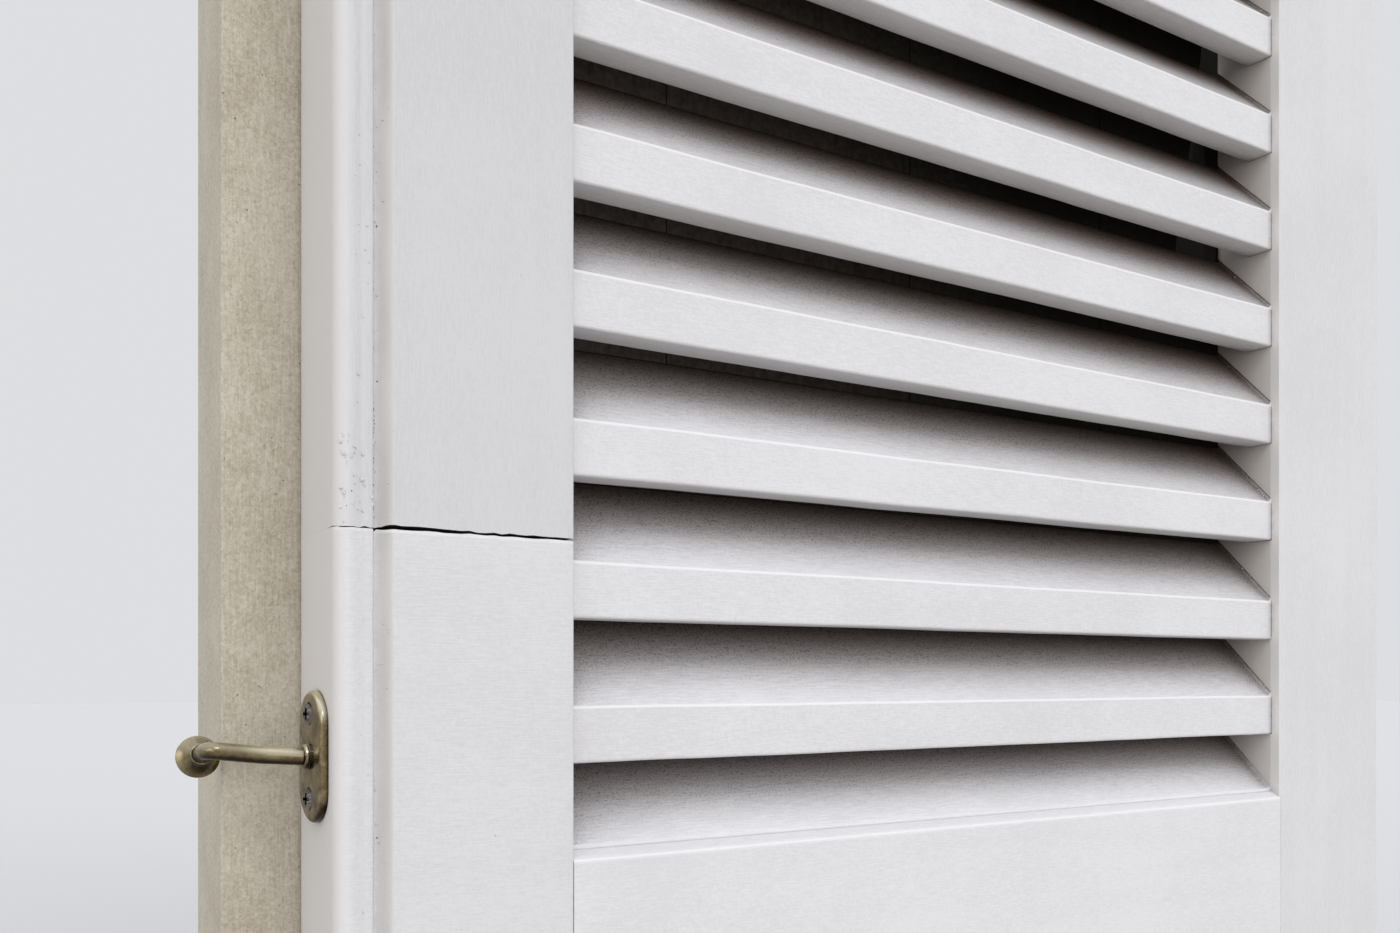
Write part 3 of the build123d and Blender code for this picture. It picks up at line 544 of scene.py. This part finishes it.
def left_stile_ring(z_of, rebated):
    """Plan of the left stile, with its height given by a function of x and depth."""
    depth = LEAF_BACK - LEAF_FRONT
    width = OPENING_LEFT - LEAF_LEFT
    outline = [(0.0, y) for y in np.linspace(depth, BEAD_RADIUS, 7)]
    angles = np.linspace(math.pi, 1.5 * math.pi, 9)[1:-1]
    outline += [(BEAD_RADIUS * (1 + math.cos(a)), BEAD_RADIUS * (1 + math.sin(a))) for a in angles]
    outline += [(x, None) for x in np.arange(BEAD_RADIUS, COVE_END + 1.2 * MM, 0.3 * MM)]
    outline += [(x, 0.0) for x in np.linspace(COVE_END + 2.5 * MM, width - ARRIS, 22)]
    outline += [(width - ARRIS * (1 - math.sin(a)), ARRIS * (1 - math.cos(a))) for a in (0.5, 1.05)]
    outline += [(width, y) for y in np.linspace(ARRIS, BOARD_FRONT - LEAF_FRONT, 5)]
    if rebated:
        outline += [(width - BOARD_REBATE, BOARD_FRONT - LEAF_FRONT), (width - BOARD_REBATE, depth)]
    else:
        # The corner twice, so that every ring has as many points
        outline += [(width, depth), (width, depth)]
    ring = []
    for x, y in outline:
        z = z_of(x, 0.0 if y is None else y)
        if y is None:
            y = soft_moulding_depth(x)
            fade = min((x - BEAD_RADIUS) / (2 * MM), 1.0)
            rough = sum(
                height * lump(x, z, across * MM, along * MM, seed)
                for height, across, along, seed in MOULDING_LUMPS)
            y = max(y + fade * (rough + MOULDING_SINK) * MM, 0.0)
        ring.append((LEAF_LEFT + x, LEAF_FRONT + y, z))
    return ring


def left_stile(low, high, z_low, z_high, fine):
    """Rings of one length of the left stile between two end surfaces, with closer ones by the splice."""
    marks = sorted({low, high, *fine, *(z for z in (BOARD_LOW, BOARD_TOP) if low < z < high)})
    rings = []
    for start, end in zip(marks, marks[1:]):
        rebated = BOARD_LOW <= (start + end) / 2 <= BOARD_TOP
        steps = max(2, round((end - start) / (6 * MM)) + 1)
        for z in np.linspace(start, end, steps):
            z_of = z_low if z == low else z_high if z == high else (lambda x, y, z=z: z)
            rings.append(left_stile_ring(z_of, rebated))
    return rings


def splice_wander(x, y):
    """How far the joint wanders from level across the moulding."""
    across = clamp((STRIP_END + 4 * MM - x) / (6 * MM)) if y < 6 * MM else 0.0
    fine = 0.4 * SPLICE_WANDER * lump(x, 0, 3 * MM, 1, 9.4)
    return across * SPLICE_WANDER * lump(x, 0, 5 * MM, 1, 6.1) + fine


def splice_lower(x, y):
    """The foot's end at the splice, with a chip out of it at the edge of the strip."""
    chip = max(1 - abs(x - STRIP_END - CHIP_SIZE / 3) / CHIP_SIZE, 0.0) if y < 4 * MM else 0.0
    worn = LIP_WEAR * (1 + lump(x, 0, 7 * MM, 1, 5.3)) if y < 1 * MM else 0.0
    return SPLICE + splice_wander(x, y) - worn - CHIP_SIZE * chip


def splice_upper(x, y):
    """The upper length's end: cracked under the bead, open and ragged on the flat, less so to the right."""
    opened = clamp((x - STRIP_END) / (4 * MM))
    narrowed = 1 - 0.4 * clamp((x - STRIP_END - 8 * MM) / (30 * MM))
    ragged = 0.22 * MM * lump(x, 0, 5 * MM, 1, 8.2) + 0.16 * MM * lump(x, 0, 1.4 * MM, 1, 2.2)
    if y >= 1.5 * MM:
        ragged = 0.0
    # The crack dies out on the leaf's free edge
    cracked = CRACK_GAP + 0.35 * MM * max(lump(x, 0, 2.4 * MM, 1, 4.7), -0.3)
    cracked *= 1 - (clamp((y - 2 * MM) / (5 * MM)) if x < BEAD_RADIUS else 0.0)
    gap = (1 - opened) * cracked + opened * (narrowed * (SPLICE_GAP + 0.1 * MM) + ragged)
    return SPLICE + splice_wander(x, y) + max(gap, CLOSED_GAP)


def make_left_stiles():
    """Both lengths of the left stile, their ends at the splice near black with soot and painted shade."""
    foot_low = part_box("left_stile_foot")[0].z
    near = [0.5 * MM, 0.8 * MM, 1.6 * MM, 3.5 * MM]
    upper = left_stile(
        SPLICE, STILE_HIGH.z, splice_upper, lambda x, y: STILE_HIGH.z, [SPLICE + 0.8 * MM + d for d in near])
    foot = left_stile(
        foot_low, SPLICE, lambda x, y: foot_low, splice_lower, [SPLICE - 0.5 * MM - d for d in near])
    for name, rings, paint, node, edge in (
        ("painted_left_stile", upper, PAINT_UP, "left_stile_upper", 0.0),
        ("painted_left_foot", foot, PAINT_FOOT, "left_stile_foot", 0.8),
    ):
        piece = finished(name, *through_rings(rings), paint, "leaf", [node])
        rubbed_and_highlit, dust_and_shade = [], []
        for x, y, z in (vertex.co for vertex in piece.data.vertices):
            # The crown of the bead is rubbed and painted as a highlight, and a ridge of paint stands along
            # the crack's lower lip, with a painted highlight
            crown = max(1 - abs(x - LEAF_LEFT - 3.4 * MM) / (3 * MM), 0.0) if y < LEAF_FRONT + 1 * MM else 0.0
            lip = edge if abs(z - SPLICE) < 1.0 * MM and y < LEAF_FRONT + 3.5 * MM else 0.0
            rubbed_and_highlit.append(max(0.35 * crown, lip * (0.75 + 0.35 * lump(x, 0, 4 * MM, 1, 3.9))))
            share = (x - LEAF_LEFT - STRIP_END) / (COVE_END - STRIP_END)
            lies = max(1 - ((share - COVE_DUST_AND_SHADE_MIDDLE) / COVE_DUST_AND_SHADE_REACH) ** 2, 0.0)
            if y >= LEAF_FRONT + 4 * MM:
                lies = 0.0
            dust_and_shade.append(COVE_DUST_AND_SHADE * lies * (1 + 0.3 * lump(x, z, 5 * MM, 30 * MM, 2.6)))
        mark(piece.data, "arris", rubbed_and_highlit)
        mark(piece.data, "dust_and_shade", dust_and_shade)
        # The ends facing each other at the splice take the near-black finish: soot and painted shade in the
        # crack
        piece.data.materials.append(SOOT_AND_SHADE)
        for face in piece.data.polygons:
            if abs(face.normal.z) > 0.5 and abs(face.center.z - SPLICE) < 2 * MM:
                face.material_index = 1


def slat_section():
    """Section of a slat: depth, height, how rubbed and painted as a highlight, and how far kept clear of soot
    and painted shade, its front bottom arris at zero.
    """
    nose = SLAT_NOSE
    tilt = math.atan(SLAT_SLOPE)
    turns = (0.0, 0.4, 0.8, 1.2, math.pi / 2)
    section = [(nose * (1 - math.sin(a)), nose * (1 - math.cos(a)), 0.0, 1.0) for a in turns]
    # The top arris, rounded from the upright face over to the slope
    centre = SLAT_FACE - nose * (1 / math.cos(tilt) - SLAT_SLOPE)
    section += [(0.0, z, 0.0, 1.0) for z in (*np.linspace(2 * MM, SLAT_FACE - 2 * MM, 4), centre - 0.3 * MM)]
    for a in np.linspace(0, math.pi / 2 - tilt, 4):
        section.append((nose * (1 - math.cos(a)), centre + nose * math.sin(a), 0.75, 0.6))
    for y in (0.55 * MM, 4 * MM, 9 * MM, 15 * MM, 23 * MM, SLAT_DEPTH - 0.9 * MM, SLAT_DEPTH):
        section.append((y, SLAT_FACE + y * SLAT_SLOPE, 0.0, 0.0))
    section.append((SLAT_DEPTH, (SLAT_DEPTH - SLAT_LAND) * SLAT_SLOPE, 0.0, 0.0))
    section += [(SLAT_LAND + 0.5 * MM, 0.5 * MM * SLAT_SLOPE, 0.0, 0.2), (SLAT_LAND, 0.0, 0.0, 0.5)]
    section.append((SLAT_LAND * 0.5, 0.0, 0.0, 0.8))
    return list(reversed(section))


def paint_flare(x):
    """How far the paint in the corner lifts a surface at a distance along the opening."""
    reach = PAINT_FILLET - min(x - OPENING_LEFT, OPENING_RIGHT - x)
    reach = min(max(reach, 0.0), PAINT_FILLET)
    return PAINT_FILLET - math.sqrt(PAINT_FILLET ** 2 - reach ** 2)


def along_opening(low, high):
    """Places along X between two ends, closer together where the paint flares out at the stiles."""
    near = [0.3 * MM, 0.7 * MM, 1.2 * MM, 1.8 * MM, 2.6 * MM, 4.0 * MM]
    middle = np.linspace(OPENING_LEFT + 7 * MM, OPENING_RIGHT - 7 * MM, 66)
    marks = [low, OPENING_LEFT, *(OPENING_LEFT + d for d in near), *middle]
    marks += [*(OPENING_RIGHT - d for d in reversed(near)), OPENING_RIGHT, high]
    return sorted(set(marks))


def slat_rings():
    """One slat along X, its slope flared by paint where it meets the stiles."""
    rings = []
    for x in along_opening(SLAT_LOW.x, SLAT_HIGH.x):
        flare = paint_flare(x)
        ring = []
        for y, z, _, _ in slat_section():
            on_slope = z > SLAT_FACE and z > y * SLAT_SLOPE + SLAT_FACE - 0.5 * MM
            ring.append((x, SLAT_LOW.y + y, z + (flare * 0.8 if on_slope else 0.0)))
        rings.append(ring)
    return rings


def new_group(name, sockets):
    """A node group that takes a mesh and more inputs by name and kind, and gives a mesh. What its input
    node puts out comes with it."""
    tree = bpy.data.node_groups.new(name, "GeometryNodeTree")
    for socket, kind in (("Geometry", "Geometry"), *sockets):
        tree.interface.new_socket(socket, in_out="INPUT", socket_type="NodeSocket" + kind)
    tree.interface.new_socket("Geometry", in_out="OUTPUT", socket_type="NodeSocketGeometry")
    return tree, add(tree, "NodeGroupInput").outputs


def louvre_tree():
    """Node group that stacks one slat up the opening, each a little uneven along its length."""
    tree, given = new_group("louvre_stack", (
        ("Seats", "Object"), ("Length", "Float"), ("Left End", "Float"), ("Unevenness", "Float"),
        ("Material", "Material"),
    ))
    seats = add(tree, "GeometryNodeObjectInfo", {"Object": given["Seats"]}).outputs["Geometry"]
    number = add(tree, "GeometryNodeInputIndex")
    numbered = {"Geometry": seats, "Name": "number", "Value": number}
    numbered = add(tree, "GeometryNodeStoreNamedAttribute", numbered, data_type="FLOAT")
    stack = add(tree, "GeometryNodeInstanceOnPoints", {"Points": numbered, "Instance": given["Geometry"]})
    solid = add(tree, "GeometryNodeRealizeInstances", {"Geometry": stack})
    slat, low_left, low_right = (
        add(tree, "GeometryNodeInputNamedAttribute", {"Name": name}, data_type="FLOAT").outputs["Attribute"]
        for name in ("number", "low_left", "low_right")
    )
    # Share of the length from the left end
    place = add(tree, "GeometryNodeInputPosition")
    axes = add(tree, "SeparateXYZ", {"Vector": place}).outputs
    share = add(tree, "Math", {0: axes["X"], 1: given["Left End"]}, operation="SUBTRACT")
    share = add(tree, "Math", {0: share, 1: given["Length"]}, operation="DIVIDE")
    drop = add(tree, "Mix", {"Factor": share, "A": low_left, "B": low_right}, clamp_factor=False)
    # A slow wave along each slat, different for each
    wave = add(tree, "CombineXYZ", {"X": axes["X"], "Y": slat})
    wave = add(tree, "TexNoise", {"Vector": wave, "Scale": per(75), "Detail": 2.0})
    wave = add(tree, "Math", {0: wave, 1: 0.5}, operation="SUBTRACT")
    wave = add(tree, "Math", {0: wave, 1: given["Unevenness"]}, operation="MULTIPLY")
    rise = add(tree, "Math", {0: wave, 1: drop}, operation="SUBTRACT")
    offset = add(tree, "CombineXYZ", {"Z": rise})
    moved = add(tree, "GeometryNodeSetPosition", {"Geometry": solid, "Offset": offset})
    painted = add(tree, "GeometryNodeSetMaterial", {"Geometry": moved, "Material": given["Material"]})
    add(tree, "NodeGroupOutput", {"Geometry": painted})
    return tree


def grown(name, base, tree, inputs, body, nodes, smooth=SHARP_TIMBER):
    """Runs a node group on a mesh and keeps the outcome as one finished piece."""
    source = put(name + "_source", base)
    modifier = source.modifiers.new("grow", "NODES")
    modifier.node_group = tree
    for item in tree.interface.items_tree:
        if item.item_type == "SOCKET" and item.in_out == "INPUT" and item.name in inputs:
            modifier[item.identifier] = inputs[item.name]
    return settled(source, name, body, nodes, smooth)


def settled(source, name, body, nodes, smooth):
    """The outcome of an object's modifiers, kept as a finished piece in its stead."""
    bpy.context.view_layer.update()
    outcome = source.evaluated_get(bpy.context.evaluated_depsgraph_get())
    mesh = bpy.data.meshes.new_from_object(outcome)
    mesh.name = name
    bpy.data.objects.remove(source)
    return placed(name, mesh, body, nodes, smooth)


def make_slats():
    """All slats as one piece, grown from one slat by the node group."""
    points, faces = through_rings(slat_rings())
    blank = bpy.data.meshes.new("slat_blank")
    blank.from_pydata(points, [], faces)
    section = slat_section()
    places = along_opening(SLAT_LOW.x, SLAT_HIGH.x)
    mark(blank, "arris", [rubbed_and_highlit for _ in places for _, _, rubbed_and_highlit, _ in section])
    mark(blank, "washed_and_lit", [washed_and_lit for _ in places for _, _, _, washed_and_lit in section])
    # Paint has cracked where the slats enter the stiles and where they touch the boards
    ends = [0.0 if OPENING_LEFT < x < OPENING_RIGHT else 0.85 for x in places]
    mark(blank, "seam", [max(end, 0.95 if y == SLAT_DEPTH else 0.0) for end in ends for y, *_ in section])
    seats = bpy.data.meshes.new("slat_seats")
    seats.from_pydata([(0, 0, z) for z in SLAT_HEIGHTS], [], [])
    for name, drops in (("low_left", LOW_LEFT), ("low_right", LOW_RIGHT)):
        mark(seats, name, [drops.get(k, 0.0) for k in range(SLAT_COUNT)])
    seat_object = put("slat_seats", seats)
    inputs = {
        "Seats": seat_object, "Length": OPENING_RIGHT - OPENING_LEFT, "Left End": OPENING_LEFT,
        "Unevenness": SLAT_WANDER, "Material": PAINT_SLATS,
    }
    nodes = [f"slat_{k + 1:02d}" for k in range(SLAT_COUNT)]
    grown("louvre_slats", blank, louvre_tree(), inputs, "leaf", nodes)
    bpy.data.objects.remove(seat_object)


def make_bottom_rail():
    """The rail's flush face, its bevelled ledge, a fine crease and the slope up to the boards."""
    low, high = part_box("bottom_rail")
    ledge = RAIL_ARRIS + 3.0 * MM
    bevel = (ledge - RAIL_ARRIS) / (SLAT_LOW.y - LEAF_FRONT)
    # Depth, height, how rubbed and painted as a highlight, how far kept clear of soot and painted shade, and
    # how dirty its seam
    section = [(y, z, 0.0, 0.0, 0.0) for y, z in (
        (LEAF_BACK, low.z), (LEAF_BACK, BOARD_LOW), (BOARD_FRONT, BOARD_LOW), (BOARD_FRONT, high.z))]
    for share in (0.8, 0.6, 0.4, 0.25, 0.12, 0.05):
        section.append((SLAT_LOW.y + share * SLAT_DEPTH, ledge + share * (high.z - ledge), 0.0, 0.0, 0.0))
    section += [
        (SLAT_LOW.y + 0.5 * MM, ledge + 0.45 * MM, 0.0, 1.0, 0.0),
        (SLAT_LOW.y + 0.2 * MM, ledge - 0.1 * MM, 0.0, 1.0, 0.28),
        (SLAT_LOW.y - 0.1 * MM, ledge - 0.15 * MM, 0.0, 1.0, 0.1),
        (SLAT_LOW.y - 0.4 * MM, ledge - 0.3 * MM * bevel, 0.3, 1.0, 0.0),
        (SLAT_LOW.y - 1.2 * MM, ledge - 1.2 * MM * bevel, 0.0, 1.0, 0.0),
        (LEAF_FRONT + 1.6 * MM, RAIL_ARRIS + 1.6 * MM * bevel, 0.0, 1.0, 0.0),
        (LEAF_FRONT + 0.8 * ARRIS, RAIL_ARRIS + 0.8 * ARRIS * bevel - 0.05 * MM, 0.1, 1.0, 0.0),
        (LEAF_FRONT + 0.25 * ARRIS, RAIL_ARRIS - 0.2 * ARRIS, 0.8, 1.0, 0.0),
        (LEAF_FRONT, RAIL_ARRIS - 0.7 * ARRIS, 0.2, 1.0, 0.0),
        (LEAF_FRONT, RAIL_ARRIS - 2.0 * ARRIS, 0.0, 1.0, 0.0),
    ]
    section += [(LEAF_FRONT, z, 0.0, 1.0, 0.0) for z in np.linspace(RAIL_ARRIS - 8 * MM, low.z, 6)]
    places = along_opening(OPENING_LEFT, OPENING_RIGHT)
    rings = []
    for x in places:
        flare = paint_flare(x)
        ring = []
        for y, z, rubbed_and_highlit, _, _ in section:
            lift = flare * 0.8 if SLAT_LOW.y < y < BOARD_FRONT and z > ledge else 0.0
            sag = min(0.15 * MM * lump(x, 0, 40 * MM, 1, 4.4), 0.0) if rubbed_and_highlit else 0.0
            ring.append((x, y, z + lift + sag))
        rings.append(ring)
    piece = finished("painted_bottom_rail", *through_rings(rings), PAINT_RAIL, "leaf", ["bottom_rail"])
    for k, name in enumerate(("arris", "washed_and_lit", "seam"), 2):
        values = []
        for _, y, z in (vertex.co for vertex in piece.data.vertices):
            values.append(min(section, key=lambda s: (s[0] - y) ** 2 + (s[1] - z) ** 2)[k])
        mark(piece.data, name, values)


def plate_outline(inset):
    """Outline of the pull's plate about its middle: straight sides and bowed ends, its corners worn round."""
    half, end = (PLATE_HIGH.y - PLATE_LOW.y) / 2, (PLATE_HIGH.z - PLATE_LOW.z) / 2
    bow = (half ** 2 + PLATE_END_RISE ** 2) / (2 * PLATE_END_RISE)
    sweep = math.asin(half / bow)
    top = [(bow * math.sin(a), end - bow * (1 - math.cos(a))) for a in np.linspace(sweep, -sweep, 60)]
    side = [(-half, z) for z in np.linspace(end - PLATE_END_RISE, PLATE_END_RISE - end, 50)[1:-1]]
    outline = np.array(top + side + [(-y, -z) for y, z in top + side])
    worn = sum(np.roll(outline, k, axis=0) for k in range(-6, 7)) / 13
    along = np.roll(worn, -1, axis=0) - np.roll(worn, 1, axis=0)
    along /= np.linalg.norm(along, axis=1)[:, None]
    return worn + inset * np.stack([-along[:, 1], along[:, 0]], axis=1)


def turned_rings(profile, y, z, count=48):
    """Rings of a turned form about a line along X: how far each stands off the leaf, and its radius."""
    turns = np.linspace(0, 2 * math.pi, count, endpoint=False)
    return [
        [(LEAF_LEFT - rise * MM, y + radius * MM * math.cos(a), z + radius * MM * math.sin(a)) for a in turns]
        for rise, radius in profile
    ]


def make_plate():
    """The pull's plate, its rim eased over, with a grooved collar round the rod and sinks for the screws."""
    y, z = (PLATE_LOW.y + PLATE_HIGH.y) / 2, (PLATE_LOW.z + PLATE_HIGH.z) / 2
    rings = [
        [(LEAF_LEFT - rise * MM, y + across, z + up) for across, up in plate_outline(inset * MM)]
        for rise, inset in PLATE_RIM
    ]
    body = finished("plate_body", *through_rings(rings), BRASS, None, [])
    for side in (-1, 1):
        rings = turned_rings(SCREW_SINK, y, z + side * SCREW_SPACING / 2)
        cutter = finished("plate_sink", *through_rings(rings), BRASS, None, [])
        cut = body.modifiers.new("sink", "BOOLEAN")
        cut.operation = "DIFFERENCE"
        cut.solver = "EXACT"
        cut.object = cutter
        cutter.hide_render = True
    cutters = [cut.object for cut in body.modifiers]
    plate = settled(body, "brass_plate", "leaf", ["pull_plate"], SHARP_BRASS)
    for cutter in cutters:
        bpy.data.objects.remove(cutter)
    points, faces = through_rings(turned_rings(ROD_COLLAR, y, z))
    joined = bmesh.new()
    joined.from_mesh(plate.data)
    made = [joined.verts.new(point) for point in points]
    for face in faces:
        joined.faces.new([made[i] for i in face]).smooth = True
    bmesh.ops.recalc_face_normals(joined, faces=joined.faces)
    joined.to_mesh(plate.data)
    joined.free()
    plate.data.set_sharp_from_angle(angle=math.radians(SHARP_BRASS))


def crumb_tree():
    """Node group that scatters rounded crumbs of paint and dirt over a strip, thicker in some places."""
    tree, given = new_group("crumb_scatter", (
        ("Density", "Float"), ("Smallest", "Float"), ("Largest", "Float"), ("Front", "Float"),
        ("Seed", "Int"), ("Material", "Material"),
    ))
    place = add(tree, "GeometryNodeInputPosition")
    cluster = add(tree, "TexNoise", {"Vector": place, "Scale": per(16), "Detail": 2.0})
    cluster = add(tree, "MapRange", {"Value": cluster, "From Min": 0.4, "From Max": 0.62})
    density = add(tree, "Math", {0: cluster, 1: given["Density"]}, operation="MULTIPLY")
    spots = {"Mesh": given["Geometry"], "Density": density, "Seed": given["Seed"]}
    spots = add(tree, "GeometryNodeDistributePointsOnFaces", spots)
    crumb = add(tree, "GeometryNodeMeshIcoSphere", {"Radius": 1.0, "Subdivisions": 2})
    size = {2: given["Smallest"], 3: given["Largest"], "Seed": given["Seed"]}
    size = add(tree, "FunctionNodeRandomValue", size, data_type="FLOAT").outputs[1]
    size = add(tree, "CombineXYZ", {"X": size, "Y": size, "Z": size})
    # Each is flattened on its bed, and no two alike
    squash = {0: (0.7, 0.7, 0.4), 1: (1.0, 1.4, 0.75)}
    squash = add(tree, "FunctionNodeRandomValue", squash, data_type="FLOAT_VECTOR").outputs[0]
    size = add(tree, "VectorMath", {0: size, 1: squash}, operation="MULTIPLY")
    crumbs = add(tree, "GeometryNodeInstanceOnPoints", {
        "Points": spots.outputs["Points"], "Instance": crumb, "Rotation": spots.outputs["Rotation"],
        "Scale": size,
    })
    solid = add(tree, "GeometryNodeRealizeInstances", {"Geometry": crumbs})
    # The brush has flattened what would stand out of the leaf's face
    axes = add(tree, "SeparateXYZ", {"Vector": place}).outputs
    depth = add(tree, "Math", {0: axes["Y"], 1: given["Front"]}, operation="MAXIMUM")
    flat = add(tree, "CombineXYZ", {"X": axes["X"], "Y": depth, "Z": axes["Z"]})
    solid = add(tree, "GeometryNodeSetPosition", {"Geometry": solid, "Position": flat})
    painted = add(tree, "GeometryNodeSetMaterial", {"Geometry": solid, "Material": given["Material"]})
    add(tree, "NodeGroupOutput", {"Geometry": painted})
    return tree


def moulding_strip(name, x_low, x_high, z_low, z_high, rows):
    """A strip just above the moulded corner, between two widths and two heights, for crumbs to lie on."""
    across = np.linspace(x_low, x_high, 14)
    points = [
        (LEAF_LEFT + x, LEAF_FRONT + soft_moulding_depth(x) + 0.02 * MM, z)
        for z in np.linspace(z_low, z_high, rows)
        for x in across
    ]
    width = len(across)
    faces = [
        (low + i, low + i + 1, low + width + i + 1, low + width + i)
        for low in range(0, width * (rows - 1), width)
        for i in range(width - 1)
    ]
    mesh = bpy.data.meshes.new(name)
    mesh.from_pydata(points, [], faces)
    return mesh


def corner_strips(name):
    """Strips along the corner between each slat's slope and the right stile, for crumbs to lie on."""
    # How far each side of a strip is from the stile, and how far it stands over the slope
    sides = ((2.2 * MM, 0.2 * MM), (0.2 * MM, 1.6 * MM))
    depths = np.linspace(0.0, SLAT_DEPTH * 0.8, 5)
    points, faces = [], []
    for height in SLAT_HEIGHTS:
        start = len(points)
        for y in depths:
            z = height + SLAT_FACE + y * SLAT_SLOPE
            points += [(OPENING_RIGHT - away, SLAT_LOW.y + y, z + lift) for away, lift in sides]
        faces += [(i, i + 2, i + 3, i + 1) for i in range(start, len(points) - 2, 2)]
    mesh = bpy.data.meshes.new(name)
    mesh.from_pydata(points, [], faces)
    return mesh


def make_crumbs():
    """Crumbs of paint and specks of dirt in the crease and cove, round the splice and at the slats' ends."""
    scatter = crumb_tree()
    low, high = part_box("left_stile_foot")[0].z + 4 * MM, STILE_HIGH.z - 4 * MM
    edge = STRIP_END
    # Where along x and z on the moulding and in how many rows, or None for the slats' corners; then how many
    # to a square metre, the least and greatest radius in mm, the seed and the finish
    for name, extent, density, smallest, largest, seed, material in (
        ("moulding_crumbs", (BEAD_WIDTH - 2 * MM, COVE_END, low, high, 60), 50000, 0.14, 0.42, 7, PAINT_UP),
        ("moulding_dirt", (edge - 0.5 * MM, edge + 1.5 * MM, low, high, 60), 50000, 0.1, 0.24, 11, DIRT),
        ("splice_crumbs", (1.5 * MM, edge, SPLICE + 0.8 * MM, SPLICE + 30 * MM, 9),
         220000, 0.3, 0.8, 3, PAINT_UP),
        ("splice_dirt", (2 * MM, edge + 2 * MM, SPLICE + 0.6 * MM, SPLICE + 12 * MM, 5),
         160000, 0.14, 0.34, 5, DIRT),
        ("cove_dirt", (edge - 0.3 * MM, edge + 0.9 * MM, SPLICE, SPLICE + 42 * MM, 9),
         900000, 0.16, 0.36, 9, DIRT),
        ("corner_dirt", None, 90000, 0.1, 0.35, 21, DIRT),
        ("corner_crumbs", None, 60000, 0.15, 0.5, 22, PAINT_HINGE_SIDE),
    ):
        if extent:
            strip = moulding_strip(name + "_strip", *extent)
        else:
            strip = corner_strips(name + "_strip")
        inputs = {
            "Density": float(density), "Smallest": smallest * MM, "Largest": largest * MM,
            "Front": LEAF_FRONT, "Seed": seed, "Material": material,
        }
        piece = grown(name, strip, scatter, inputs, "leaf", [], smooth=SHARP_CRUMB)


make_left_stiles()
make_slats()
make_bottom_rail()
make_plate()
make_crumbs()


# Stage

def seen_ray(tree):
    """One for rays from the camera and for those that mirrors and glass send on."""
    path = add(tree, "LightPath")
    seen = path.outputs["Is Camera Ray"]
    for ray in ("Is Glossy Ray", "Is Transmission Ray"):
        seen = add(tree, "Math", {0: seen, 1: path.outputs[ray]}, operation="MAXIMUM")
    return seen


def make_stage():
    """A matt floor: pale to the camera and to reflections, greyer for the light it throws back."""
    material, tree, _ = new_material("matt_floor")
    shade = {"Factor": seen_ray(tree), "A": linear("#BBB7AF"), "B": linear("#DFDFE1")}
    shade = add(tree, "Mix", shade, data_type="RGBA")
    reach = 9.0
    corners = [(x * reach, y * reach, FRAME_LOW.z) for x, y in ((-1, -1), (1, -1), (1, 1), (-1, 1))]
    mesh = bpy.data.meshes.new("floor")
    mesh.from_pydata(corners, [], [(0, 1, 2, 3)])
    mesh.materials.append(complete(material, shade, 0.9))
    floor = put("floor", mesh)


def make_light():
    """An overcast sky does most of the work, with three broad weak suns for its brighter parts."""
    world = bpy.data.worlds.new("studio")
    bpy.context.scene.world = world
    world.use_nodes = True
    tree = world.node_tree
    # The sky grows from a dim horizon to a bright zenith; the camera sees it as an even pale backdrop
    way = add(tree, "SeparateXYZ", {"Vector": add(tree, "TexCoord").outputs["Generated"]}).outputs
    rise = add(tree, "MapRange", {
        "Value": way["Z"], "From Min": -0.1, "From Max": 1.0, "To Min": 0.76, "To Max": 1.52})
    # Less of it comes from behind, where the wall stands
    front = add(tree, "MapRange", {
        "Value": way["Y"], "From Min": 0.0, "From Max": 0.5, "To Min": 1.0, "To Max": 0.35})
    sky = add(tree, "Math", {0: rise, 1: front}, operation="MULTIPLY")
    strength = add(tree, "Mix", {"Factor": seen_ray(tree), "A": sky, "B": 0.8})
    feed(tree, tree.nodes["Background"], {"Color": linear("#F3F5F8"), "Strength": strength})
    # The way each sun's light goes, how broad it looks in degrees, and its strength
    for name, towards, breadth, strength in (
        ("front_lamp", (-1.1, 2.3, -0.3), 36.0, 0.81),
        ("side_lamp", (2.2, 1.0, -0.5), 40.0, 0.36),
        ("sky_lamp", (0.9, 1.6, -1.9), 17.0, 0.23),
    ):
        light = bpy.data.lights.new(name, "SUN")
        light.angle = math.radians(breadth)
        light.energy = strength
        put(name, light).rotation_euler = Vector(towards).to_track_quat("-Z", "Y").to_euler()


def make_camera():
    """Level camera, low beside the leaf's free edge and 31.5 degrees off square to it."""
    data = bpy.data.cameras.new("camera")
    camera = put("camera", data)
    camera.location = CAMERA_SPOT
    camera.rotation_euler = (math.radians(90), 0, math.radians(CAMERA_TURN))
    data.sensor_width = SENSOR_WIDTH
    data.lens = FOCAL_LENGTH / PHOTO_WIDTH * SENSOR_WIDTH
    data.shift_y = (HORIZON_ROW - PHOTO_HEIGHT / 2) / PHOTO_WIDTH
    data.clip_start = 0.01
    bpy.context.scene.camera = camera


make_stage()
make_light()
make_camera()
bpy.context.scene.view_settings.view_transform = "Standard"
